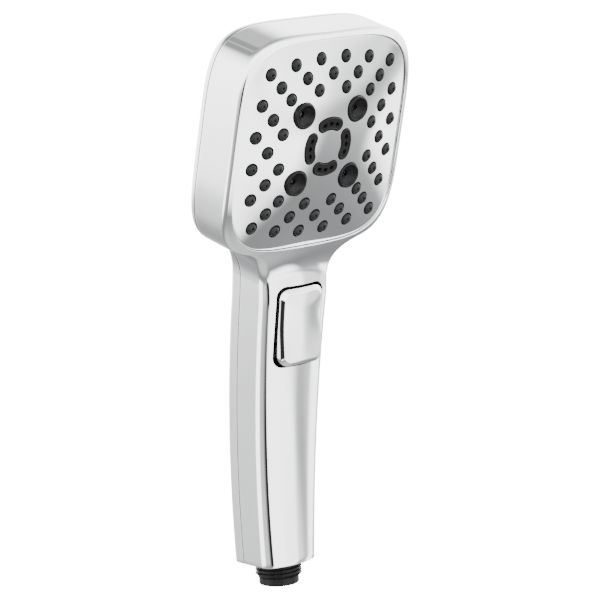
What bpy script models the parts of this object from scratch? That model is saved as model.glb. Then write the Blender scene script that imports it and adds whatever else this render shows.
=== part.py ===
"""Handheld shower head: chromed two-part body with a square spray head, a thumb paddle that
switches the spray, the water way inside it and a threaded hose inlet at the foot of the handle.

Frame: the origin is the centre of the inlet's end face. +Z runs up the handle, the spray face looks
towards -Y, and X is across. The dimensions below are in millimetres and objects are in metres.

The body follows a spine: a point is given as (across, along, depth), where along is measured up the
spine from the inlet and depth is square to it, negative towards the spray face. Inside the head,
(x, y, z) is measured from the middle of the spray face, y to the back and z up the face.
"""

import math

import bmesh
import bpy
from mathutils import Matrix, Vector

MM = 0.001

# Spine
SPINE_RADIUS = 680.0
HEAD_TILT = math.radians(15.78)
SPINE_START_Y = 1.0
HEAD_BEGINS = (132.0, 157.0)
FACE_DEPTH = -13.5  # depth of the spray face's edge plane
NECK_ENDS = 160.0  # along, where the handle's width stops changing

# Head
HEAD_ALONG = 207.4
HEAD_HALF = 49.5
HEAD_POWER = 4.7
RIM_HALF = 46.4  # where the bezel reaches its full height
OPENING_HALF = 46.9
PLATE_HALF = 46.1
PLATE_POWER = 4.0
RIM_HEIGHT = 15.1
DOME_RISE = 6.0
DOME_HALF = 47.3
RIM_SLOPE = 0.5

# Handle
HANDLE_FOOT = 10.4
NECK_RADIUS = 18.0
CROWN = 2.4
FRONT_HEIGHT = 14.5
REAR_DEPTH = 13.0
NECK_DIP = 2.8
DIP_ALONG = (136.0, 162.0)
VALLEY_SOFT = 7.0  # how softly the rim and the handle's front run together
REAR_CROWN = 0.8
CORNER_HANDLE = 3.5
CORNER_RIM = 1.6
CORNER_REAR_HANDLE = 3.0
CORNER_REAR_HEAD = 5.5
SPLIT_HANDLE = 5.0
SPLIT_HEAD = 6.5
HEAD_STARTS = (140.0, 165.0)
WALL = 2.0
GAP = 0.3
REAR_MIDDLE = 26.0

# Nozzles
NOZZLE_RINGS = ((34.05, 6), (28.1, 5), (22.6, 4))  # half size of the ring, nozzles per side
RING_BOW = 0.14
RING_PULL = 0.033
NOZZLE_HOLE_R = 3.0
NOZZLE_SIDES = 6
NOZZLE_R = 2.5
NOZZLE_PROUD = 1.2
FUNNEL_AT = 15.05
FUNNEL_R = 5.65
JET_RADIUS = 10.34
JET_HALF_WIDTH = 2.7
JET_HALF_ANGLE = math.radians(24)
JET_PROUD = 0.6
SEAT_DEPTH = 3.0  # how far the funnels and jets reach behind the face
THROUGH = (-12.0, 8.0)  # y range of a hole through the spray face

# Water way, y in the head
PLATE_THICK = 1.8
MAT_FRONT = PLATE_THICK + GAP
MAT_BACK = MAT_FRONT + 1.2
SPRAY_PLATE_FRONT = MAT_BACK + GAP
SPRAY_PLATE_BACK = 4.6
GASKET_Y = (4.9, 6.1)
GASKET_WIDTH = 2.4
PORT_PLATE_Y = (6.4, 8.9)
DISC_Y = (9.2, 12.2)
RATCHET_Y = (12.5, 16.0)
HOUSING_Y = (9.2, 23.4)
INNER_HALF = 43.6
HOUSING_R = 20.5
CHAMBER_R = 18.0
FLANGE_R = 26.0
HOUSING_SCREW_AT = 23.5
HOUSING_SCREW_ANGLES = tuple(math.radians(a) for a in (90, 205, 335))
DISC_R = 17.0
PORT_AT = 12.0
FEED_AT = 20.0
SPINDLE_R = 1.9
RATCHET_R = 6.2
RATCHET_ROOT_R = 4.9
RATCHET_TEETH = 12
SCREW_AT = 30.0
SCREW_CLEARANCE = 1.8
BOSS_R = 3.4
TUBE_DEPTH = 2.8
TUBE_R = 4.2
TUBE_BORE = 3.0
SOCKET_R = 7.0
SOCKET_BORE = 5.7
SEAL_R = (4.5, 5.4)

# Paddle
PADDLE_HALF = 12.2
PADDLE_SPAN = (105.3, 140.6)
PADDLE_FACE = (-18.3, -15.6)  # depth of the face at the lower and upper end
WINDOW_MARGIN = 1.3
WINDOW_CORNER = 5.2
PIN_ALONG = 136.0
PIN_DEPTH = -7.2
ROD_X = 11.0
ROD_Y = 14.3
ROD_R = 1.5
PADDLE_CORNER = 4.6
PADDLE_BACK = -10.0
PADDLE_CROWN = 0.6
PIN_R = 1.0
PIN_HOLE_R = 1.3
LUG_X = 9.5

# Inlet, 1/2-14 straight pipe thread
THREAD_MAJOR = 10.45
THREAD_MINOR = 9.3
THREAD_PITCH = 1.814
LIP_R = 9.04
LIP_HEIGHT = 3.3
INLET_BORE = 6.8
INLET_TOP = 36.0
INLET_SLEEVE_R = 8.6
FLANGE_EDGE_R = 11.4
THREAD_TURNS = 5
VALVE_R = 6.4


def smooth(low, high, value):
    t = min(max((value - low) / (high - low), 0.0), 1.0)
    return t * t * (3 - 2 * t)


def blend(a, b, t):
    return a + (b - a) * t


def spaced(first, last, count):
    return [first + (last - first) * i / (count - 1) for i in range(count)]


# The body's shape


def spine_frame(along):
    """Y, Z and tilt of the spine: an arc up the handle, which runs into the head's straight line."""
    arc_end = SPINE_RADIUS * HEAD_TILT
    beyond = along - arc_end
    line_y = SPINE_START_Y - SPINE_RADIUS * (1 - math.cos(HEAD_TILT)) - beyond * math.sin(HEAD_TILT)
    line_z = SPINE_RADIUS * math.sin(HEAD_TILT) + beyond * math.cos(HEAD_TILT)
    tilt = min(along / SPINE_RADIUS, HEAD_TILT)
    arc_y = SPINE_START_Y - SPINE_RADIUS * (1 - math.cos(tilt))
    arc_z = SPINE_RADIUS * math.sin(tilt)
    share = smooth(*HEAD_BEGINS, along)
    return blend(arc_y, line_y, share), blend(arc_z, line_z, share), blend(tilt, HEAD_TILT, share)


def on_spine(x, along, depth):
    y, z, tilt = spine_frame(along)
    return Vector((x, y + depth * math.cos(tilt), z + depth * math.sin(tilt))) * MM


def head_matrix():
    middle = on_spine(0, HEAD_ALONG, FACE_DEPTH)
    return Matrix.Translation(middle) @ Matrix.Rotation(HEAD_TILT, 4, "X") @ Matrix.Scale(MM, 4)


def crowd(angle):
    """Moves an evenly spaced angle towards the nearest corner of a rounded square."""
    return angle + 0.12 * math.sin(4 * angle)


def square_round(half, power, angle):
    """A point on a rounded square: |x|^p + |z|^p = half^p."""
    c, s = math.cos(angle), math.sin(angle)
    r = half * (abs(c) ** power + abs(s) ** power) ** (-1 / power)
    return r * c, r * s


def dome(x, z):
    """Height y of the pillow-shaped front of the spray plate."""
    return -DOME_RISE * (1 - (x / DOME_HALF) ** 2) * (1 - (z / DOME_HALF) ** 2)


def handle_half(along):
    return 14.45 + 0.0505 * along - 0.00012 * along**2


def neck_fillet():
    """Centre of the circle that joins the handle's side to the head, and where it meets the head."""
    angles = spaced(math.radians(-89), math.radians(-20), 400)

    points = [square_round(HEAD_HALF, HEAD_POWER, crowd(a)) for a in angles]

    def nearest(along):
        cx = handle_half(along) + NECK_RADIUS
        far = [math.hypot(px - cx, pz + HEAD_ALONG - along) for px, pz in points]
        return min(far), angles[far.index(min(far))]

    low, high = 110.0, 155.0
    for _ in range(30):
        middle = (low + high) / 2
        if nearest(middle)[0] > NECK_RADIUS:
            low = middle
        else:
            high = middle
    return handle_half(low) + NECK_RADIUS, low, nearest(low)[1]


def contour(handle_count, neck_count, head_count):
    """Right half of the body's outline from the foot to the top of the head.

    Each entry is the point, its inward direction and its stage: 0 on the handle, 0 to 1 round the
    neck, 1 to 2 round the head.
    """
    cx, cs, head_angle = neck_fillet()
    out = []
    for along in spaced(HANDLE_FOOT, cs, handle_count)[:-1]:
        out.append(((handle_half(along), along), (-1.0, 0.0), 0.0))
    tx, tz = square_round(HEAD_HALF, HEAD_POWER, crowd(head_angle))
    last = math.atan2(tz + HEAD_ALONG - cs, tx - cx)
    for i, angle in enumerate(spaced(math.pi, last, neck_count)[:-1]):
        way = (math.cos(angle), math.sin(angle))
        point = (cx + NECK_RADIUS * way[0], cs + NECK_RADIUS * way[1])
        out.append((point, way, i / (neck_count - 1)))
    for i, angle in enumerate(spaced(head_angle, math.pi / 2, head_count)):
        x, z = square_round(HEAD_HALF, HEAD_POWER, crowd(angle))
        gx = math.copysign(abs(x) ** (HEAD_POWER - 1), x)
        gz = math.copysign(abs(z) ** (HEAD_POWER - 1), z)
        size = math.hypot(gx, gz)
        way = (-gx / size, -gz / size)
        if i == head_count - 1:
            x, way = 0.0, (0.0, -1.0)
        out.append(((x, z + HEAD_ALONG), way, 1 + i / (head_count - 1)))
    return out, head_angle


def inner_line(ribs, head_angle, half, power):
    """Where each rib ends: on the middle line up the handle, then round an outline in the head."""
    neck = [i for i, rib in enumerate(ribs) if 0 < rib[2] < 1]
    turn = neck[len(neck) // 2]
    start = ribs[neck[0] - 1][0][1]
    foot = HEAD_ALONG - half
    first_head = neck[-1] + 1
    ends = []
    for i, (point, _, stage) in enumerate(ribs):
        if i < neck[0]:
            ends.append((0.0, point[1]))
        elif i <= turn:
            ends.append((0.0, blend(start, foot, (i - neck[0] + 1) / (turn - neck[0] + 1))))
        else:
            if i < first_head:
                angle = blend(-math.pi / 2, head_angle, (i - turn) / (first_head - turn))
            else:
                angle = blend(head_angle, math.pi / 2, stage - 1)
            x, z = square_round(half, power, crowd(angle))
            ends.append((0.0 if i == len(ribs) - 1 else x, z + HEAD_ALONG))
    return ends, turn


def edge_round(inset, radius):
    if inset >= radius:
        return 0.0
    return radius - math.sqrt(radius**2 - (radius - inset) ** 2)


def front_height(x, along):
    """How far the front stands out of the spine: the higher of the head's rim and the handle."""
    z = along - HEAD_ALONG
    reach = ((abs(x) / RIM_HALF) ** 4 + (abs(z) / RIM_HALF) ** 4) ** 0.25
    rim = RIM_HEIGHT - RIM_SLOPE * (reach - 1) * RIM_HALF
    across = x / (handle_half(min(along, NECK_ENDS)) - CORNER_HANDLE)
    handle = FRONT_HEIGHT - NECK_DIP * smooth(*DIP_ALONG, along) - CROWN * across**2
    apart = max(VALLEY_SOFT - abs(rim - handle), 0.0) / VALLEY_SOFT
    return max(rim, handle) + apart**2 * VALLEY_SOFT / 4


def front_depth(x, along, inset, stage):
    corner = blend(CORNER_HANDLE, CORNER_RIM, smooth(0, 1, stage))
    return -front_height(x, along) + edge_round(inset, corner)


def rear_depth(x, along, inset, stage):
    corner = blend(CORNER_REAR_HANDLE, CORNER_REAR_HEAD, smooth(0, 1, stage))
    half = blend(handle_half(min(along, NECK_ENDS)), HEAD_HALF, smooth(140, 170, along))
    return REAR_DEPTH - REAR_CROWN * (x / half) ** 2 - edge_round(inset, corner)


def split_depth(along):
    return blend(SPLIT_HANDLE, SPLIT_HEAD, smooth(*HEAD_STARTS, along))


# Mesh helpers


def material(name, color, metallic, roughness):
    made = bpy.data.materials.new(name)
    made.use_nodes = True
    shader = made.node_tree.nodes["Principled BSDF"]
    shader.inputs["Base Color"].default_value = (*color, 1)
    shader.inputs["Metallic"].default_value = metallic
    shader.inputs["Roughness"].default_value = roughness
    return made


def add_object(name, mesh, look, matrix=None):
    made = bpy.data.objects.new(name, mesh)
    bpy.context.scene.collection.objects.link(made)
    if look is not None:
        mesh.materials.append(look)
    if matrix is not None:
        mesh.transform(Matrix.Scale(matrix.median_scale, 4))
        place, turn, _ = matrix.decompose()
        made.location = place
        made.rotation_euler = turn.to_euler()
    return made


def finish_mesh(bm, name):
    bmesh.ops.remove_doubles(bm, verts=bm.verts, dist=1e-6)
    bmesh.ops.recalc_face_normals(bm, faces=bm.faces)
    mesh = bpy.data.meshes.new(name)
    bm.to_mesh(mesh)
    bm.free()
    mesh.shade_smooth()
    mesh.set_sharp_from_angle(angle=math.radians(30))
    return mesh


def loft(name, rings, closed=False):
    """A solid through rings of points: capped at both ends, or closed on itself as a ring."""
    bm = bmesh.new()
    grid = [[bm.verts.new(p) for p in ring] for ring in rings]
    pairs = list(zip(grid, grid[1:])) + ([(grid[-1], grid[0])] if closed else [])
    for one, two in pairs:
        for i in range(len(one)):
            j = (i + 1) % len(one)
            bm.faces.new((one[i], one[j], two[j], two[i]))
    if not closed:
        bm.faces.new(grid[0][::-1])
        bm.faces.new(grid[-1])
    return finish_mesh(bm, name)


def circle(r, count, turn=0.0):
    angles = [turn + 2 * math.pi * i / count for i in range(count)]
    return [(r * math.cos(a), r * math.sin(a)) for a in angles]


def turned(name, profile, count, axis="Z", at=(0, 0, 0), closed=True):
    """A profile of (radius, height) turned round an axis through a point."""
    rings = []
    for r, h in profile:
        ring = []
        for a, b in circle(r, count):
            point = {"X": (h, a, b), "Y": (a, h, b), "Z": (a, b, h)}[axis]
            ring.append(tuple(p + q for p, q in zip(point, at)))
        rings.append(ring)
    return loft(name, rings, closed)


def rod_y(r, low, high, count, x=0.0, z=0.0):
    """A plain cylinder along y."""
    return turned("rod", [(r, low), (r, high)], count, "Y", (x, 0, z), False)


def rod_z(r, low, high, count, x=0.0, y=0.0):
    """A plain cylinder along z."""
    return turned("rod", [(r, low), (r, high)], count, "Z", (x, y, 0), False)


def four_corners(at):
    return [(sx * at, sz * at) for sx in (-1, 1) for sz in (-1, 1)]


def outline_plate(name, outline, low, high):
    """A plate with an outline of (x, z) between two heights y."""
    return loft(name, [[(x, y, z) for x, z in outline] for y in (low, high)])


def round_square(half, power, count):
    step = 2 * math.pi / count
    return [square_round(half, power, crowd(i * step)) for i in range(count)]


def round_rect(half_x, low, high, corner, steps):
    """A rectangle with round corners, x to both sides and low to high."""
    out = []
    corners = ((1, high), (-1, high), (-1, low), (1, low))
    for quarter, (side, level) in enumerate(corners):
        cx = side * (half_x - corner)
        cz = level - corner if level == high else level + corner
        for i in range(steps + 1):
            a = math.pi / 2 * (quarter + i / steps)
            out.append((cx + corner * math.cos(a), cz + corner * math.sin(a)))
    return out


def join_meshes(name, meshes):
    bm = bmesh.new()
    for mesh in meshes:
        bm.from_mesh(mesh)
    joined = bpy.data.meshes.new(name)
    bm.to_mesh(joined)
    bm.free()
    return joined


def combine(target, mesh, operation, matrix=None):
    """Cuts a mesh out of an object, or joins it on, with a hidden helper object."""
    helper = add_object(f"{target.name}_{operation.lower()}_helper", mesh, None, matrix)
    helper.hide_render = True
    helper.display_type = "WIRE"
    step = target.modifiers.new(operation.lower(), "BOOLEAN")
    step.operation = operation
    step.object = helper
    step.solver = "EXACT"


# Covers


def cover(name, look, depth_of, split, insets, between, ends, turn, ribs, capped):
    """One half of the body as a wall of constant thickness between an outer and an inner skin."""
    bm = bmesh.new()
    toward = 1 if split > 0 else -1

    def skin(offset):
        grid = []
        for i, (point, way, stage) in enumerate(ribs):
            edge = (point[0] + way[0] * offset, point[1] + way[1] * offset)
            level = split_depth(point[1]) + toward * GAP / 2
            row = [bm.verts.new(on_spine(*edge, level))]
            places = []
            for inset in insets(stage):
                at = (edge[0] + way[0] * inset, edge[1] + way[1] * inset)
                places.append((at, inset))
            reach = math.hypot(ends[i][0] - edge[0], ends[i][1] - edge[1])
            start = places[-1][0]
            for k in range(1, between + 1):
                t = k / between
                at = (blend(start[0], ends[i][0], t), blend(start[1], ends[i][1], t))
                places.append((at, reach))
            for at, inset in places:
                depth = depth_of(at[0], at[1], inset, stage) - toward * offset
                row.append(bm.verts.new(on_spine(*at, depth)))
            grid.append(row)
        return grid

    outer, inner = skin(0.0), skin(WALL)
    for grid in (outer, inner):
        for a, b in zip(grid, grid[1:]):
            for j in range(len(a) - 1):
                bm.faces.new((a[j], b[j], b[j + 1], a[j + 1]))
    for i in range(len(ribs) - 1):
        bm.faces.new((outer[i][0], inner[i][0], inner[i + 1][0], outer[i + 1][0]))
        if i >= turn and not capped:
            bm.faces.new((outer[i][-1], outer[i + 1][-1], inner[i + 1][-1], inner[i][-1]))
    for j in range(len(outer[0]) - 1):
        bm.faces.new((outer[0][j], outer[0][j + 1], inner[0][j + 1], inner[0][j]))
    if capped:
        for grid in (outer, inner):
            bm.faces.new([row[-1] for row in grid[turn:]])
    half = bm.verts[:] + bm.edges[:] + bm.faces[:]
    copied = bmesh.ops.duplicate(bm, geom=half)["geom"]
    for vert in (v for v in copied if isinstance(v, bmesh.types.BMVert)):
        vert.co.x = -vert.co.x
    return add_object(name, finish_mesh(bm, name), look)


def make_covers(chrome):
    ribs, head_angle = contour(9, 7, 12)

    def front_insets(stage):
        corner = blend(CORNER_HANDLE, CORNER_RIM, smooth(0, 1, stage))
        return [0.0, corner * 0.1, corner * 0.4, corner]

    def rear_insets(stage):
        corner = blend(CORNER_REAR_HANDLE, CORNER_REAR_HEAD, smooth(0, 1, stage))
        return [0.0, corner * 0.13, corner * 0.5, corner]

    ends, turn = inner_line(ribs, head_angle, OPENING_HALF, PLATE_POWER)
    front = cover("front_cover", chrome, front_depth, -1, front_insets, 2, ends, turn, ribs, False)
    ends, turn = inner_line(ribs, head_angle, REAR_MIDDLE, 3.0)
    rear = cover("rear_cover", chrome, rear_depth, 1, rear_insets, 2, ends, turn, ribs, True)
    low, high = PADDLE_SPAN[0] - WINDOW_MARGIN, PADDLE_SPAN[1] + WINDOW_MARGIN
    outline = round_rect(PADDLE_HALF + WINDOW_MARGIN, low, high, WINDOW_CORNER, 3)
    rings = [[on_spine(x, s, depth) for x, s in outline] for depth in (-21, -7.5)]
    combine(front, loft("window", rings), "DIFFERENCE")
    bosses = [rod_y(BOSS_R, HOUSING_Y[0], 25.0, 10, x, z) for x, z in four_corners(SCREW_AT)]
    pilots = [rod_y(SCREW_CLEARANCE, 8.0, 19.0, 8, x, z) for x, z in four_corners(SCREW_AT)]
    combine(rear, join_meshes("bosses", bosses), "UNION", head_matrix())
    combine(rear, join_meshes("pilots", pilots), "DIFFERENCE", head_matrix())


# Spray face


def nozzle_places():
    """Middles of the small nozzles, on three bowed square rings."""
    places = []
    for half, count in NOZZLE_RINGS:
        for side in range(4):
            for i in range(count - 1):
                t = -1 + 2 * i / (count - 1)
                across = half * t * (1 - RING_PULL * (t * t - 1))
                out = half * (1 + RING_BOW * (1 - t * t))
                turn = side * math.pi / 2
                x = across * math.cos(turn) - out * math.sin(turn)
                z = across * math.sin(turn) + out * math.cos(turn)
                places.append((x, z))
    return places


def jet_outline(turn, margin, steps):
    """A kidney shape on a circle round the middle, with round ends."""
    half = JET_HALF_WIDTH + margin
    out = []
    for r, first, last in ((JET_RADIUS + half, -1, 1), (JET_RADIUS - half, 1, -1)):
        for t in spaced(first, last, steps):
            a = turn + t * JET_HALF_ANGLE
            out.append((r * math.cos(a), r * math.sin(a)))
        a = turn + last * JET_HALF_ANGLE
        cx, cz = JET_RADIUS * math.cos(a), JET_RADIUS * math.sin(a)
        for k in (1, 2):
            b = a + (0.0 if last > 0 else math.pi) + math.pi / 3 * k
            out.append((cx + half * math.cos(b), cz + half * math.sin(b)))
    return out


def dome_plate(name, half, front, back, count=28, flat_back=False):
    """A plate whose faces follow the dome, front and back offset from it, or with a flat back."""
    bm = bmesh.new()
    shares = (1.0, 0.62)
    skins = []
    for offset, follows in ((front, True), (back, not flat_back)):
        rings = []
        for share in shares:
            ring = []
            for x, z in round_square(half * share, PLATE_POWER, count):
                ring.append(bm.verts.new((x, offset + (dome(x, z) if follows else 0.0), z)))
            rings.append(ring)
        skins.append(rings)
        for one, two in zip(rings, rings[1:]):
            for i in range(count):
                j = (i + 1) % count
                bm.faces.new((one[i], one[j], two[j], two[i]))
        centre = bm.verts.new((0, offset + (dome(0, 0) if follows else 0.0), 0))
        for i in range(count):
            bm.faces.new((rings[-1][i], rings[-1][(i + 1) % count], centre))
    for i in range(count):
        j = (i + 1) % count
        bm.faces.new((skins[0][0][i], skins[0][0][j], skins[1][0][j], skins[1][0][i]))
    return finish_mesh(bm, name)


def middle_holes():
    """The holes for the funnels and the massage jets."""
    holes = [rod_y(FUNNEL_R + GAP, *THROUGH, 14, x, z) for x, z in four_corners(FUNNEL_AT)]
    holes += [outline_plate("hole", jet_outline(k * math.pi / 2, GAP, 5), *THROUGH) for k in range(4)]
    return holes


def make_spray_face(looks):
    at_head = head_matrix()
    plate = dome_plate("spray_faceplate", PLATE_HALF, 0.0, PLATE_THICK)
    plate = add_object("spray_faceplate", plate, looks["chrome"], at_head)
    holes = [rod_y(NOZZLE_HOLE_R, *THROUGH, NOZZLE_SIDES, x, z) for x, z in nozzle_places()]
    combine(plate, join_meshes("face_holes", holes + middle_holes()), "DIFFERENCE", at_head)

    mat = dome_plate("nozzle_mat", INNER_HALF, MAT_FRONT, MAT_BACK)
    mat = add_object("nozzle_mat", mat, looks["silicone"], at_head)
    studs = []
    for x, z in nozzle_places():
        front = dome(x, z)
        profile = [(NOZZLE_R, front + MAT_FRONT + 0.5), (NOZZLE_R * 0.8, front - NOZZLE_PROUD)]
        studs.append(turned("stud", profile, NOZZLE_SIDES, "Y", (x, 0, z), False))
    combine(mat, join_meshes("studs", studs), "UNION", at_head)
    combine(mat, join_meshes("mat_holes", middle_holes()), "DIFFERENCE", at_head)

    for k, (x, z) in enumerate(four_corners(FUNNEL_AT)):
        front = dome(x, z)
        seat = front + SEAT_DEPTH
        profile = [(FUNNEL_R, seat), (FUNNEL_R, front - 0.5), (FUNNEL_R - 0.6, front - 1.1)]
        profile += [(4.4, front - 0.9), (1.1, front + 1.4), (1.1, seat)]
        name = f"funnel_nozzle_{k + 1}"
        add_object(name, turned(name, profile, 12, "Y", (x, 0, z)), looks["black"], at_head)

    for k in range(4):
        name = f"massage_jet_{k + 1}"
        front = dome(JET_RADIUS, 0)
        outline = jet_outline(k * math.pi / 2, 0, 5)
        body = outline_plate(name, outline, front + SEAT_DEPTH, front - JET_PROUD)
        body = add_object(name, body, looks["black"], at_head)
        slots = []
        for step in (-1, 0, 1):
            a = k * math.pi / 2 + step * JET_HALF_ANGLE * 0.8
            at = (JET_RADIUS * math.cos(a), 0, JET_RADIUS * math.sin(a))
            slots.append(turned("slot", [(1.0, front - 2), (0.6, front + 4)], 6, "Y", at, False))
        combine(body, join_meshes("slots", slots), "DIFFERENCE", at_head)


# Water way


def make_water_way(looks):
    at_head = head_matrix()
    plate = dome_plate("spray_plate", INNER_HALF, SPRAY_PLATE_FRONT, SPRAY_PLATE_BACK, 24, True)
    plate = add_object("spray_plate", plate, looks["grey"], at_head)
    cuts = []
    for x, z in four_corners(SCREW_AT):
        profile = [(3.2, -2), (3.2, 3.6), (SCREW_CLEARANCE, 3.6), (SCREW_CLEARANCE, 8)]
        cuts.append(turned("cut", profile, 8, "Y", (x, 0, z), False))
    for x, z in circle(FEED_AT, 8, math.pi / 8):
        cuts.append(rod_y(2.2, -6, 8, 6, x, z))
    combine(plate, join_meshes("feed_holes", cuts), "DIFFERENCE", at_head)

    front, back = GASKET_Y
    inner = INNER_HALF - GASKET_WIDTH
    rings = []
    for half, y in ((INNER_HALF, front), (INNER_HALF, back), (inner, back), (inner, front)):
        rings.append([(x, y, z) for x, z in round_square(half, PLATE_POWER, 32)])
    add_object("chamber_gasket", loft("chamber_gasket", rings, True), looks["silicone"], at_head)

    outline = round_square(INNER_HALF, PLATE_POWER, 32)
    ports = outline_plate("port_plate", outline, *PORT_PLATE_Y)
    ports = add_object("port_plate", ports, looks["grey"], at_head)
    cuts = [rod_y(SPINDLE_R + GAP, 5, 10, 12)]
    cuts += [rod_y(SCREW_CLEARANCE, 5, 10, 8, x, z) for x, z in four_corners(SCREW_AT)]
    cuts += [rod_y(2.2, 5, 10, 8, x, z) for x, z in circle(PORT_AT, 6)]
    cuts += [rod_y(1.4, 5, 10, 6, x, z) for x, z in housing_screw_places()]
    combine(ports, join_meshes("port_holes", cuts), "DIFFERENCE", at_head)

    low, high = HOUSING_Y
    profile = [(CHAMBER_R, low), (FLANGE_R, low), (FLANGE_R, low + 2), (HOUSING_R, low + 2)]
    profile += [(HOUSING_R, high), (SPINDLE_R + GAP, high), (SPINDLE_R + GAP, high - 2)]
    profile += [(CHAMBER_R, high - 2)]
    housing = turned("valve_housing", profile, 24, "Y")
    housing = add_object("valve_housing", housing, looks["grey"], at_head)
    tube_y = TUBE_DEPTH - FACE_DEPTH
    combine(housing, rod_z(SOCKET_R, -34, -19, 16, 0, tube_y), "UNION", at_head)
    cuts = [rod_z(SOCKET_BORE, -35, -22.5, 16, 0, tube_y)]
    cuts.append(rod_z(TUBE_BORE, -24, -15, 12, 0, tube_y))
    cuts.append(rod_z(ROD_R + 0.4, -28, -12, 8, ROD_X, ROD_Y))
    cuts += [rod_y(1.4, 8, 13, 6, x, z) for x, z in housing_screw_places()]
    combine(housing, join_meshes("bores", cuts), "DIFFERENCE", at_head)

    for k, (x, z) in enumerate(housing_screw_places()):
        profile = [(1.05, 6.8), (1.05, 11.5), (2.0, 11.5), (2.0, 13.0)]
        name = f"housing_screw_{k + 1}"
        add_object(name, turned(name, profile, 8, "Y", (x, 0, z), False), looks["steel"], at_head)
    for k, (x, z) in enumerate(four_corners(SCREW_AT)):
        profile = [(2.8, 1.9), (2.8, 3.3), (1.4, 3.3), (1.4, 17.5)]
        name = f"chamber_screw_{k + 1}"
        add_object(name, turned(name, profile, 8, "Y", (x, 0, z), False), looks["steel"], at_head)

    route = []
    for along in spaced(27.5, HEAD_ALONG - 24.0, 13):
        y, _, tilt = spine_frame(along)
        depth = blend(-y / math.cos(tilt), TUBE_DEPTH, smooth(40, 100, along))
        route.append((0, along, depth))
    add_object("water_tube", pipe("water_tube", route, TUBE_R, TUBE_BORE, 10), looks["grey"])
    for name, low, high, y, matrix in (("tube_seal_upper", -30.4, -28.6, tube_y, at_head),
                                       ("tube_seal_lower", 30.6, 32.4, 0, Matrix.Scale(MM, 4))):
        inner, outer = SEAL_R
        seal = turned(name, [(inner, low), (inner, high), (outer, high), (outer, low)], 16, "Z", (0, y, 0))
        add_object(name, seal, looks["rubber"], matrix)


def housing_screw_places():
    r = HOUSING_SCREW_AT
    return [(r * math.cos(a), r * math.sin(a)) for a in HOUSING_SCREW_ANGLES]


def pipe(name, route, outer, inner, count):
    """A pipe along spine points, open through its whole length."""
    rings = []
    points = [on_spine(*p) / MM for p in route]

    def ring(i, r):
        before, after = points[max(i - 1, 0)], points[min(i + 1, len(points) - 1)]
        along = (after - before).normalized()
        side = Vector((1, 0, 0))
        back = along.cross(side)
        return [tuple((points[i] + side * a + back * b) * MM) for a, b in circle(r, count)]

    for i in range(len(points)):
        rings.append(ring(i, outer))
    for i in reversed(range(len(points))):
        rings.append(ring(i, inner))
    return loft(name, rings, True)


# Spray switch


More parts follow.
